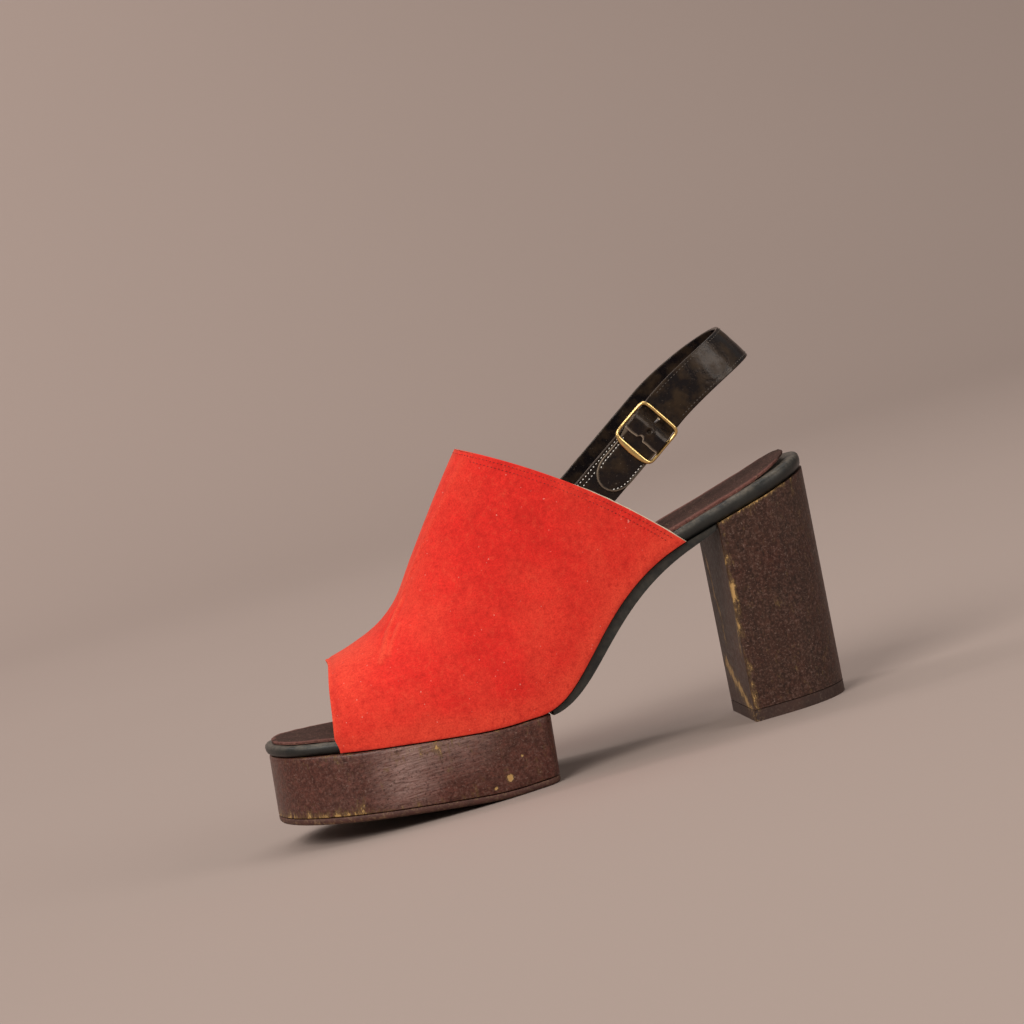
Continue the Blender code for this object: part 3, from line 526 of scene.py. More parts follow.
def sheet_of(surface, along, across):
    """Grid laid on a surface(u, v), with its shares u and v kept as a UV map."""
    bm = bmesh.new()
    bm.loops.layers.uv.new("UVMap")
    bmesh.ops.create_grid(bm, x_segments=along, y_segments=across, size=0.5, calc_uvs=True)
    for vertex in bm.verts:
        vertex.co = surface(vertex.co.x + 0.5, vertex.co.y + 0.5)
    return bm


def lofted(sections, cyclic=False):
    """Tube through sections, each a centre with a width vector and a depth vector."""
    bm = bmesh.new()
    loops = []
    for centre, wide, deep in sections:
        turn = Matrix((wide, deep, wide.cross(deep).normalized())).transposed().to_4x4()
        circle = bmesh.ops.create_circle(bm, segments=12, radius=1.0,
                                         matrix=Matrix.Translation(centre) @ turn)["verts"]
        loops.append({e for v in circle for e in v.link_edges})
    pairs = list(zip(loops, loops[1:]))
    if cyclic:
        pairs.append((loops[-1], loops[0]))
    for lower, upper in pairs:
        bmesh.ops.bridge_loops(bm, edges=list(lower | upper))
    if not cyclic:
        bmesh.ops.holes_fill(bm, edges=[e for e in bm.edges if e.is_boundary], sides=0)
    bmesh.ops.recalc_face_normals(bm, faces=bm.faces)
    return bm


def finished(bm, name, material, node=None, sharp=40):
    """Turns a bmesh into a piece of the shoe that rides on it and stands for a node."""
    bmesh.ops.translate(bm, vec=LAST_FRONT, verts=bm.verts)
    piece = placed(bm, name, material)
    piece.data.set_sharp_from_angle(angle=math.radians(sharp))
    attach(piece, "root")
    if node:
        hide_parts(node)
    return piece


def placed(bm, name, material):
    """Smooth object of a bmesh, in the scene."""
    mesh = bpy.data.meshes.new(name)
    bm.to_mesh(mesh)
    bm.free()
    mesh.materials.append(material)
    mesh.shade_smooth()
    piece = bpy.data.objects.new(name, mesh)
    bpy.context.scene.collection.objects.link(piece)
    return piece


def solidified(piece, thickness, edge=0.0):
    """Gives a sheet its wall and rounds the wall's edges."""
    wall = piece.modifiers.new("wall", "SOLIDIFY")
    wall.thickness = thickness
    wall.offset = -1.0
    if edge:
        rim = piece.modifiers.new("rim", "BEVEL")
        rim.width = edge
        rim.segments = 2
        rim.limit_method = "ANGLE"
        rim.angle_limit = math.radians(50)
        rim.use_clamp_overlap = False


def keep_attribute(bm, name, value_of):
    """Writes a value of each vertex's place into a named attribute of the mesh."""
    layer = bm.verts.layers.float.new(name)
    for vertex in bm.verts:
        vertex[layer] = value_of(vertex.co)


def evenly(line, pitch):
    """Places at an even pitch along a line of points with outward directions."""
    marks = marks_along([point for point, outward in line])
    places = []
    for mark in np.arange(pitch / 2, marks[-1], pitch):
        k = min(int(np.searchsorted(marks, mark)), len(line) - 1)
        share = (mark - marks[k - 1]) / (marks[k] - marks[k - 1])
        before, after = line[k - 1], line[k]
        places.append((before[0].lerp(after[0], share), (after[0] - before[0]).normalized(),
                       before[1].lerp(after[1], share).normalized()))
    return places


def stitched(name, lines, thread, slot, pitch, long, wide):
    """Rows of stitches along lines of points, all in one piece."""
    bm = bmesh.new()
    for line in lines:
        for point, along, outward in evenly(line, pitch):
            side = along.cross(outward).normalized()
            turn = Matrix((along * long / 2, side * wide / 2, outward * wide / 2)).transposed().to_4x4()
            bmesh.ops.create_icosphere(bm, subdivisions=1, radius=1.0,
                                       matrix=Matrix.Translation(point) @ turn)
    finished(bm, name, thread, sharp=80)


def away_from(point, line):
    """Distance from a point to a line of corners."""
    best = 1.0
    for a, b in zip(line, line[1:]):
        a, b = Vector(a), Vector(b)
        share = min(max((point - a).dot(b - a) / (b - a).length_squared, 0.0), 1.0)
        best = min(best, (point - a.lerp(b, share)).length)
    return best


# Finishes, and the colours of wear, dirt, painted shade and painted light in them

SOILED_AND_SHADED_NAP = (0.25, 0.022, 0.018)
NAP_SPECKS = (0.82, 0.30, 0.24)
PAINTED_SHEEN_COLOUR = (0.40, 0.262, 0.232)
SCRATCHED_WOOD = (0.26, 0.178, 0.145)
WOOD_GRIT = (0.17, 0.098, 0.078)
DUSTY_LEATHER = (0.036, 0.035, 0.028)
SCUFFED_LEATHER = (0.17, 0.14, 0.105)
SOCK_MIDDLE = (0.036, 0.018, 0.0135)
SOCK_CLOUDS = (0.078, 0.036, 0.029)
SOCK_DUST = (0.27, 0.135, 0.105)
SOCK_PITS = (0.016, 0.009, 0.008)
SOCK_SPECKS = (0.52, 0.36, 0.20)
SOLE_DUST = (0.17, 0.12, 0.09)
BROWN_PATENT = (0.030, 0.019, 0.011)
PATENT_DUST = (0.12, 0.10, 0.085)
CUT_LEATHER = (0.26, 0.21, 0.16)
DARK_THREAD = (0.085, 0.068, 0.056)
BRASS_TARNISH = (0.30, 0.17, 0.06)
STEEL_TARNISH = (0.30, 0.29, 0.28)

# Fine scratches in the wood: stretch and turn of their pattern, and the level above which it shows
WOOD_SCRATCHES = (
    ((90, 90, 330), (0.3, 0.5, 0.2), 0.655),
    ((300, 300, 80), (0.2, -0.4, 0.1), 0.675),
    ((95, 95, 420), (-0.2, -0.9, 0.4), 0.670),
)


class Finish:
    """Material being built up from nodes over the piece's own place; base is its colour so far."""

    def __init__(self, name, colour, roughness, metallic=0.0):
        self.material = bpy.data.materials.new(name)
        self.material.use_nodes = True
        self.tree = self.material.node_tree
        self.shader = self.tree.nodes["Principled BSDF"]
        self.base = colour
        self.set("Base Color", (*colour, 1))
        self.set("Roughness", roughness)
        self.set("Metallic", metallic)
        self.place = self.add("ShaderNodeTexCoord").outputs["Object"]

    def add(self, kind, **settings):
        node = self.tree.nodes.new(kind)
        for key, value in settings.items():
            setattr(node, key, value)
        return node

    def set(self, socket, value):
        self.put(self.shader.inputs[socket], value)

    def put(self, socket, value):
        """Joins an output to a socket, or sets the socket's own value."""
        if isinstance(value, bpy.types.NodeSocket):
            self.tree.links.new(value, socket)
        else:
            socket.default_value = value

    def fill(self, node, **values):
        """Joins or sets a node's sockets by their names; returns the node."""
        for name, value in values.items():
            self.put(node.inputs[name.replace("_", " ")], value)
        return node

    def stretched(self, scale, turn=(0, 0, 0)):
        node = self.add("ShaderNodeMapping")
        return self.fill(node, Vector=self.place, Scale=scale, Rotation=turn).outputs["Vector"]

    def noise(self, scale, detail=3.0, rough=0.5, source=None, distortion=0.0):
        node = self.add("ShaderNodeTexNoise")
        self.fill(node, Vector=source or self.place, Scale=scale, Detail=detail, Roughness=rough,
                  Distortion=distortion)
        return node.outputs["Fac"]

    def cells(self, scale):
        node = self.add("ShaderNodeTexVoronoi")
        return self.fill(node, Vector=self.place, Scale=scale).outputs["Distance"]

    def attribute(self, name):
        return self.add("ShaderNodeAttribute", attribute_name=name).outputs["Fac"]

    def near(self, point, reach):
        """1 at a point of the shoe, falling to 0 at a reach from it."""
        node = self.add("ShaderNodeVectorMath", operation="DISTANCE")
        self.put(node.inputs[0], self.place)
        self.put(node.inputs[1], tuple(Vector(point) + LAST_FRONT))
        return self.span(node.outputs["Value"], 0.0, reach, 1.0, 0.0)

    def span(self, value, low, high, out_low=0.0, out_high=1.0):
        """Value carried from one span of numbers to another, held inside the second."""
        node = self.add("ShaderNodeMapRange", clamp=True)
        self.fill(node, Value=value, From_Min=low, From_Max=high, To_Min=out_low, To_Max=out_high)
        return node.outputs["Result"]

    def math(self, operation, a, b):
        node = self.add("ShaderNodeMath", operation=operation)
        self.put(node.inputs[0], a)
        self.put(node.inputs[1], b)
        return node.outputs[0]

    def cover(self, share, colour):
        """Lays a colour over the base by a share."""
        node = self.add("ShaderNodeMix", data_type="RGBA")
        below = self.base if isinstance(self.base, bpy.types.NodeSocket) else (*self.base, 1)
        self.put(node.inputs["Factor"], share)
        self.put(node.inputs[6], below)
        self.put(node.inputs[7], (*colour, 1))
        self.base = node.outputs[2]

    def stain(self, value, low, high, amount, colour):
        """Lays a colour over the base, up to an amount, where a value passes from low to high."""
        self.cover(self.span(value, low, high, 0.0, amount), colour)

    def bump(self, height, strength, distance):
        """Relief of a height; each call lies on the one before it."""
        node = self.fill(self.add("ShaderNodeBump"), Strength=strength, Distance=distance, Height=height)
        earlier = self.shader.inputs["Normal"].links
        if earlier:
            self.put(node.inputs["Normal"], earlier[0].from_socket)
        self.set("Normal", node.outputs["Normal"])

    def done(self, **sockets):
        """Gives the shader the base colour and other values; returns the material."""
        self.set("Base Color", self.base)
        self.fill(self.shader, **sockets)
        return self.material


def times(colour, factor):
    """Colour made lighter or darker by one factor, or by a factor for each of its parts."""
    factors = factor if isinstance(factor, tuple) else (factor,) * 3
    return tuple(min(c * k, 1.0) for c, k in zip(colour, factors))


def suede_finish(colours):
    """Napped suede: mottled where the nap lies differently, dusty, with pale specks."""
    suede = colours.suede
    f = Finish("red_suede", suede, 0.92)
    # Paler, more orange nap: used for nap that lies differently, for rubbed nap and for painted light
    rubbed_and_lit = tuple(min(c * k + d, 1.0) for c, k, d in zip(suede, (1.05, 1.7, 1.3), (0.05, 0.036, 0.016)))
    nap = f.noise(150, 5, 0.6)
    brushed = f.noise(34, 4, 0.6, f.stretched((1.0, 1.0, 0.5), (0, 0.5, 0)))
    mottle = f.noise(430, 5, 0.75)
    fine = f.noise(1600, 3, 0.7)
    f.base = times(suede, 0.90)
    f.stain(nap, 0.34, 0.68, 1.0, times(suede, 1.10))
    f.stain(brushed, 0.44, 0.66, 0.38, rubbed_and_lit)
    f.stain(brushed, 0.42, 0.26, 0.35, times(suede, 0.72))
    # Paler nap: rubbed, with painted light along the foot, on the toe and on the crease ridges
    f.cover(f.math("MULTIPLY", f.attribute("rubbed_and_lit"), f.span(nap, 0.20, 0.62, 0.35, 1.0)), rubbed_and_lit)
    # Darker nap at the foot and behind the toe fold: dirt together with painted shade
    f.cover(f.math("MULTIPLY", f.attribute("soil_and_shade"), f.span(f.noise(210, 6, 0.7), 0.34, 0.70)), SOILED_AND_SHADED_NAP)
    f.stain(mottle, 0.52, 0.72, 0.55, rubbed_and_lit)
    f.stain(mottle, 0.48, 0.30, 0.60, times(suede, 0.55))
    f.stain(fine, 0.40, 0.66, 0.50, times(suede, 0.55))
    f.stain(f.noise(900, 1, 0.3), 0.775, 0.810, 0.60, NAP_SPECKS)
    f.bump(nap, 0.25, 0.0008)
    f.bump(f.noise(620, 4, 0.7), 0.5, 0.00030)
    f.bump(fine, 0.5, 0.00014)
    return f.done(Sheen_Weight=0.30, Sheen_Roughness=0.40, Sheen_Tint=(1.0, 0.44, 0.28, 1),
                  Specular_IOR_Level=0.12)


def lining_finish(colours):
    """Cream lining leather, a little soiled."""
    f = Finish("cream_lining", colours.cream, 0.7)
    soiled = f.noise(80, 5, 0.65)
    f.stain(soiled, 0.35, 0.75, 1.0, times(colours.cream, 0.62))
    f.bump(f.cells(1500), 0.3, 0.0001)
    f.bump(f.noise(350, 4), 0.2, 0.0003)
    return f.done(Roughness=f.span(soiled, 0.3, 0.7, 0.6, 0.8))


def wood_finish(name, colours, colour, sheen, grain, knocks_and_sheen=(), painted_sheens=()):
    """Stained wood: grain, small scratches, dust and worn edges, with knocks and patches of painted sheen."""
    f = Finish(name, colour, sheen)
    bands = f.noise(4.0, 6, 0.62, f.stretched(grain), distortion=0.5)
    pores = f.noise(9.0, 2, 0.5, f.stretched([2.2 * g for g in grain]))
    strokes = f.noise(9.0, 5, 0.75, f.stretched([1.6 * g for g in grain]))
    cloud = f.noise(46, 5, 0.65)
    mottle = f.noise(420, 4, 0.75)
    grit = f.noise(1000, 3, 0.7)
    f.base = times(colour, 0.72)
    f.stain(bands, 0.34, 0.68, 1.0, times(colour, 1.28))
    f.stain(cloud, 0.45, 0.70, 0.55, times(colour, (0.95, 1.45, 1.55)))
    f.stain(cloud, 0.44, 0.28, 0.60, times(colour, (1.15, 0.72, 0.70)))
    f.stain(pores, 0.57, 0.70, 0.75, times(colour, 0.30))
    f.stain(mottle, 0.50, 0.72, 0.55, times(colour, 2.3))
    f.stain(mottle, 0.46, 0.30, 0.50, times(colour, 0.38))
    # Painted sheen: paler patches where light falls on the side, streaked along the grain
    for place, reach, depth in painted_sheens:
        brushed = f.span(strokes, 0.40, 0.64, 0.25 * depth, 1.35 * depth)
        f.cover(f.math("MULTIPLY", f.near(place, reach), brushed), PAINTED_SHEEN_COLOUR)
    marks = f.span(f.noise(900, 3, 0.75), 0.645, 0.715, 0.0, 0.75)
    for stretch, turn, level in WOOD_SCRATCHES:
        lines = f.noise(5.0, 4, 0.75, f.stretched(stretch, turn))
        marks = f.math("MAXIMUM", marks, f.span(lines, level - 0.02, level + 0.02, 0.0, 0.65))
    f.cover(marks, SCRATCHED_WOOD)
    f.stain(grit, 0.53, 0.66, 0.45, WOOD_GRIT)
    f.stain(grit, 0.47, 0.33, 0.70, times(colour, 0.28))
    amount = f.attribute("wear")
    # Worn edges and knocks, and the painted sheen of the wide patches at the platform's top edge
    for place, reach, depth in knocks_and_sheen:
        amount = f.math("MAXIMUM", amount, f.math("MULTIPLY", f.near(place, reach), depth))
    chips = f.noise(300, 6, 0.80, f.stretched((1.0, 1.0, 0.45)))
    worn = f.math("ADD", amount, f.span(chips, 0.32, 0.70, -0.60, 0.42))
    f.stain(worn, 0.10, 0.34, 0.55, times(colours.bare_wood, 0.35))
    f.stain(worn, 0.40, 0.50, 1.0, colours.bare_wood)
    f.bump(f.span(bands, 0.2, 0.8), 0.30, 0.0004)
    f.bump(mottle, 0.30, 0.0002)
    f.bump(f.math("MULTIPLY", f.span(worn, 0.36, 0.50), -1.0), 0.5, 0.0003)
    return f.done(Specular_IOR_Level=0.3, Roughness=f.span(mottle, 0.3, 0.75, sheen, sheen + 0.26))


def leather_finish(colours):
    """Black leather wrapped round the board, scuffed and dusty along its edge."""
    f = Finish("black_leather", colours.leather, 0.42)
    cloud = f.noise(90, 5, 0.65)
    f.stain(cloud, 0.42, 0.78, 0.5, DUSTY_LEATHER)
    scuffs = f.span(f.noise(260, 6, 0.75), 0.40, 0.68)
    f.cover(f.math("MULTIPLY", f.attribute("wear"), scuffs), SCUFFED_LEATHER)
    f.bump(f.cells(1300), 0.22, 0.00012)
    f.bump(f.noise(240, 4), 0.35, 0.0004)
    return f.done(Specular_IOR_Level=0.34, Roughness=f.span(cloud, 0.3, 0.75, 0.34, 0.58))


def sock_finish(colours):
    """Worn lining: dull, dusty and rubbed, its surface broken up."""
    f = Finish("worn_lining", colours.sock, 0.85)
    cloud = f.noise(90, 6, 0.7)
    grit = f.noise(900, 4, 0.75)
    rim = f.math("ADD", f.attribute("rim"), f.span(cloud, 0.30, 0.70, -0.25, 0.25))
    f.base = SOCK_MIDDLE
    f.stain(rim, 0.15, 0.75, 1.0, colours.sock)
    f.stain(cloud, 0.34, 0.68, 0.5, SOCK_CLOUDS)
    f.stain(grit, 0.55, 0.69, 0.60, SOCK_DUST)
    f.stain(grit, 0.45, 0.32, 0.75, SOCK_PITS)
    f.stain(f.noise(1500, 2), 0.715, 0.745, 0.9, SOCK_SPECKS)
    f.bump(cloud, 0.4, 0.0006)
    f.bump(grit, 0.6, 0.00025)
    return f.done(Specular_IOR_Level=0.12)


def sole_finish(name, colours, colour):
    """Outsole and top lift: dull brown, dusty and a little chipped."""
    f = Finish(name, times(colour, 0.8), 0.66)
    grit = f.noise(700, 5, 0.8)
    f.base = times(colour, 0.60)
    f.stain(f.noise(90, 5, 0.7), 0.36, 0.68, 1.0, times(colour, 1.15))
    f.stain(grit, 0.52, 0.72, 0.5, SOLE_DUST)
    chipped = f.math("MULTIPLY", f.attribute("wear"), f.span(grit, 0.50, 0.60))
    f.cover(chipped, times(colours.bare_wood, 0.85))
    f.bump(grit, 0.4, 0.00025)
    return f.done()


def patent_finish(colours):
    """Patent leather: black under a clear coat that is crinkled and dull in patches, its cut end raw."""
    f = Finish("black_patent", colours.patent, 0.22)
    patches = f.noise(170, 4, 0.6)
    f.stain(patches, 0.42, 0.66, 0.85, BROWN_PATENT)
    f.stain(f.noise(1300, 2, 0.6), 0.68, 0.75, 0.6, PATENT_DUST)
    f.cover(f.attribute("cut"), CUT_LEATHER)
    f.bump(patches, 0.45, 0.0009)
    f.bump(f.noise(430, 4, 0.65), 0.55, 0.00030)
    return f.done(Specular_IOR_Level=0.20, Specular_Tint=(1.0, 0.76, 0.58, 1), Coat_Roughness=0.10,
                  Coat_Weight=f.span(patches, 0.38, 0.62, 0.24, 0.07), Coat_Tint=(1.0, 0.88, 0.76, 1),
                  Roughness=f.span(patches, 0.40, 0.65, 0.20, 0.46))


def thread_finish(name, colour):
    """Twisted thread."""
    f = Finish(name, colour, 0.75)
    twist = f.noise(2600, 2)
    f.base = times(colour, 0.70)
    f.stain(twist, 0.35, 0.7, 1.0, colour)
    f.bump(twist, 0.4, 0.0001)
    return f.done()


def metal_finish(name, colour, roughness, tarnish):
    """Polished metal with a little tarnish and fine scratches."""
    f = Finish(name, colour, roughness, metallic=1.0)
    cloud = f.noise(420, 5, 0.65)
    f.stain(cloud, 0.45, 0.75, 0.7, tarnish)
    f.bump(f.noise(1800, 2), 0.08, 0.0001)
    return f.done(Roughness=f.span(cloud, 0.35, 0.75, roughness, roughness + 0.22))


def stage_finish(colours):
    """Plain pale paper."""
    f = Finish("floor_paper", colours.floor, 0.9)
    f.base = times(colours.floor, 0.96)
    f.cover(f.noise(1.5, 2), times(colours.floor, 1.03))
    return f.done(Specular_IOR_Level=0.15)


# Pieces

class ShoeOperator:
    """What the shoe's operators have in common."""

    bl_options = {"REGISTER", "UNDO"}

    def execute(self, context):
        self.build(context.scene.shoe_sizes, context.scene.shoe_colours)
        return {"FINISHED"}


def to_platform(co, bottom):
    """Bends a flat layer to the platform's rocker and leans its front back."""
    depth = PLATFORM_THICKNESS - bottom - co.z
    co.z = rocker(co.x) + PLATFORM_THICKNESS - depth
    co.x -= PLATFORM_RAKE * depth / PLATFORM_THICKNESS


class OBJECT_OT_shoe_platform(ShoeOperator, Operator):
    """Wooden platform and its thin outsole"""

    bl_idname = "object.shoe_platform"
    bl_label = "Platform and Outsole"

    def build(self, sizes, colours):
        outline = outline_of(rear=PLATFORM_REAR - PLATFORM_LEDGE, corner_rear=PLATFORM_CORNER)
        outline = grown(outline, PLATFORM_LEDGE)
        wood = wood_finish("platform_wood", colours, colours.wood, 0.30, (9, 120, 120), PLATFORM_KNOCKS_AND_SHEEN,
                           PLATFORM_PAINTED_SHEEN)
        sole = sole_finish("brown_outsole", colours, colours.wood)
        layers = (
            ("wooden_platform", "platform", wood, "stained_wood", sizes.outsole_thickness + GAP,
             PLATFORM_THICKNESS, (sizes.wood_edge / 2, sizes.wood_edge)),
            ("rubber_outsole", "outsole", sole, "rubber", 0.0,
             sizes.outsole_thickness, (OUTSOLE_ROUND, sizes.wood_edge / 2)),
        )
        for name, node, finish, slot, bottom, top, rounds in layers:
            height = top - bottom
            bm = slab(outline, height, rounds, (0.004, 0, 0.004))

            def wear(co, height=height):
                low = max(0.0, 1 - co.z / 0.0022)
                high = max(0.0, 1 - (height - co.z) / 0.0012)
                toe = 1 - blend(co.x, 0.015, 0.050)
                return 0.18 * low + 0.20 * high + 0.42 * toe * low

            keep_attribute(bm, "wear", wear)
            for vertex in bm.verts:
                to_platform(vertex.co, bottom)
            finished(bm, name, finish, node)


def toe_lip(x):
    """How far the footbed reaches past the last in the toe opening."""
    return TOE_LIP * (1 - blend(x, *TOE_LIP_FADE))


def sock_floor(x):
    """Underside of the lining, which lifts off the footbed at the heel."""
    curl = blend(x, LAST_LENGTH - LINING_CURL_LENGTH, LAST_LENGTH) ** 1.5
    return footbed_top(x) + GAP + LINING_CURL * curl


class OBJECT_OT_shoe_footbed(ShoeOperator, Operator):
    """Leather-wrapped footbed and its worn lining"""

    bl_idname = "object.shoe_footbed"
    bl_label = "Footbed and Lining"

    def build(self, sizes, colours):
        outline = grown(outline_of(), toe_lip)
        bm = slab(outline, FOOTBED_FLAT, (sizes.footbed_round, sizes.footbed_round), (0.003, 0, 0))
        keep_attribute(bm, "wear", lambda co: 0.75 * max(0.0, 1 - abs(FOOTBED_FLAT - co.z) / 0.0022))
        for vertex in bm.verts:
            co = vertex.co
            low = footbed_bottom(co.x)
            dents = noise.noise(co * 190) * 0.00010
            co.z = low + (footbed_top(co.x) - low) * co.z / FOOTBED_FLAT + dents
        finished(bm, "wrapped_footbed", leather_finish(colours), "footbed")
        material = sock_finish(colours)
        self.sock(sizes, outline, material)
        self.torn_layer(material)

    def sock(self, sizes, outline, material):
        """The lining with its frayed edge."""
        def inset(x):
            widening = (LINING_HEEL_INSET - sizes.sock_inset) * blend(x, SEAT_START, LAST_LENGTH)
            return -(sizes.sock_inset + widening)

        def rim_share(co):
            """How near a point is to the lining's long edges, on the footbed's width."""
            edge = abs(last_edge(co.x, -1 if co.y < 0 else 1)) - sizes.sock_inset + toe_lip(co.x)
            return 1 - blend(edge - abs(co.y), 0.0, 0.0050 + 0.0030 * blend(co.x, 0.12, 0.18))

        def fray(p):
            return Vector((noise.noise(p * 420), noise.noise(p * 420 + Vector((7, 3, 1))), 0)) * LINING_FRAY

        frayed = [p + fray(p) for p in grown(outline, inset)]
        bm = slab(frayed, sizes.sock_thickness, (0.0, 0.0003), (0.002, 0.002, 0), segments=1)
        keep_attribute(bm, "rim", rim_share)
        for vertex in bm.verts:
            co = vertex.co
            relief = noise.noise(co * 260) * 0.00014 + noise.noise(co * 70) * 0.00018
            co.z = sock_floor(co.x) + upright(co.x, co.z) + relief
        finished(bm, "worn_sock_lining", material, "sock_lining")

    def torn_layer(self, material):
        """The torn layer under the lining's lifted end."""
        def inset(x):
            return -(TORN_INSET + (TORN_HEEL_INSET - TORN_INSET) * blend(x, 0.19, 0.22))

        torn = grown(outline_of(front=TORN_FRONT, rear=TORN_REAR), inset)
        for point in torn:
            if point.x > TORN_RAGGED_FROM:
                ragged = noise.noise(point * 300) * 0.0012 + noise.noise(point * 90) * 0.0018
                point.x += ragged - 0.006 * blend(-point.y, 0.008, 0.024)
        bm = slab(torn, 1.0, (0, 0), (0.002, 0.002, 0))
        keep_attribute(bm, "rim", lambda co: 0.9)
        for vertex in bm.verts:
            co = vertex.co
            low = footbed_top(co.x) + 0.00008
            high = min(sock_floor(co.x) - 0.00004, low + TORN_THICKNESS)
            co.z = low + (high - low) * co.z + noise.noise(co * 260) * 0.00006
        finished(bm, "torn_under_lining", material)


class OBJECT_OT_shoe_waist(ShoeOperator, Operator):
    """Leather sole below the arch"""

    bl_idname = "object.shoe_waist"
    bl_label = "Waist Sole"

    def build(self, sizes, colours):
        front = PLATFORM_REAR + 2 * GAP
        rear = HEEL_BREAST_TOP - 2 * GAP
        margin = VAMP_WALL - WAIST_INSET
        bm = slab(grown(outline_of(front + margin, rear - margin), margin), 1.0, (0, 0), (0.002, 0, 0))
        for vertex in bm.verts:
            co = vertex.co
            share = min(max((co.x - front) / (rear - front), 0.0), 1.0)
            depth = upright(co.x, WAIST_EDGE + WAIST_CROWN * math.sin(math.pi * share) ** 0.8)
            co.z = bed(co.x) - depth * (1 - co.z)
        keep_attribute(bm, "wear", lambda co: 0.15)
        finished(bm, "waist_sole_leather", leather_finish(colours), "waist_sole")


class OBJECT_OT_shoe_heel(ShoeOperator, Operator):
    """Wooden block heel and its top lift"""

    bl_idname = "object.shoe_heel"
    bl_label = "Block Heel"

    def build(self, sizes, colours):
        outline = outline_of(front=HEEL_BREAST_TOP, corner_front=HEEL_CORNER, step=0.0009)
        seat_width = last_edge(HEEL_BREAST_TOP, 1) - last_edge(HEEL_BREAST_TOP, -1)
        wood = wood_finish("heel_wood", colours, colours.heel_wood, 0.40, (70, 70, 12))
        rubber = sole_finish("brown_top_lift", colours, colours.heel_wood)

        def shape(co, low, high):
            """Carries a point of the upright block to the tapered heel, between two heights."""
            share_along = (co.x - HEEL_BREAST_TOP) / (LAST_LENGTH - HEEL_BREAST_TOP)
            foot = Vector((HEEL_BREAST_BOTTOM + share_along * (HEEL_BACK_BOTTOM - HEEL_BREAST_BOTTOM),
                           co.y * HEEL_BOTTOM_WIDTH / seat_width, 0))
            seat = Vector((co.x, co.y, bed(co.x)))
            bottom = low / seat.z
            top = high / seat.z if high else 1.0
            return foot.lerp(seat, bottom + (top - bottom) * co.z)

        layers = (("wooden_heel", "heel_block", wood, "stained_wood", TOP_LIFT + GAP, None, 0.02),
                  ("heel_top_lift_rubber", "heel_top_lift", rubber, "rubber", 0.0, TOP_LIFT, 0.25))
        for name, node, finish, slot, low, high, step_up in layers:
            bm = slab(outline, 1.0, (0, 0), (0.004, 0.0015, step_up))
            for vertex in bm.verts:
                vertex.co = shape(vertex.co, low, high)
            keep_attribute(bm, "wear", self.wear)
            finished(bm, name, finish, node)

    @staticmethod
    def wear(co):
        """Wear down the breast's chipped streaks, at its corner and along the joint under the footbed."""
        breast = HEEL_BREAST_BOTTOM + (HEEL_BREAST_TOP - HEEL_BREAST_BOTTOM) * co.z / SEAT_HEIGHT
        on_breast = 1 - blend(co.x - breast, 0.0008, 0.0034)
        spot = Vector((co.y, co.z))
        worn = max(depth * max(0.0, 1 - away_from(spot, line) / reach)
                   for line, reach, depth in BREAST_STREAKS)
        joint = max(0.0, 1 - (bed(co.x) - co.z) / 0.0018) * (1 - blend(co.x, 0.215, 0.232))
        corner = on_breast * max(0.0, 1 - abs(co.y - HEEL_CORNER_Y) / 0.004) if co.y < 0 else 0.0
        return max(worn * on_breast, 0.50 * joint, 0.30 * corner)


def crease_marks(point):
    """Height of the vamp's creases at a point, and how much their nap is made paler there, rubbed and with a
    painted highlight.
    """
    height = 0.0
    rubbed_and_lit = 0.0
    for line, width, rise, rub in VAMP_CREASES:
        reach = away_from(point, line) / width
        if reach < 4:
            height += rise * (math.exp(-reach ** 2) - 0.55 * math.exp(-(reach - 1.9) ** 2))
            rubbed_and_lit = max(rubbed_and_lit, rub * math.exp(-(reach * 0.95) ** 2))
    return height, rubbed_and_lit


def collar_row(shares, from_edge):
    """Points with outward directions along the vamp, at a distance from its collar."""
    row = []
    for around in shares:
        reach = (vamp_point(around, 1.0) - vamp_point(around, 1 - COLLAR_BAND)).length / COLLAR_BAND
        along = 1 - from_edge / reach
        outward = vamp_normal(around, along)
        row.append((vamp_point(around, along) + outward * COLLAR_STITCH_DEPTH, outward))
    return row


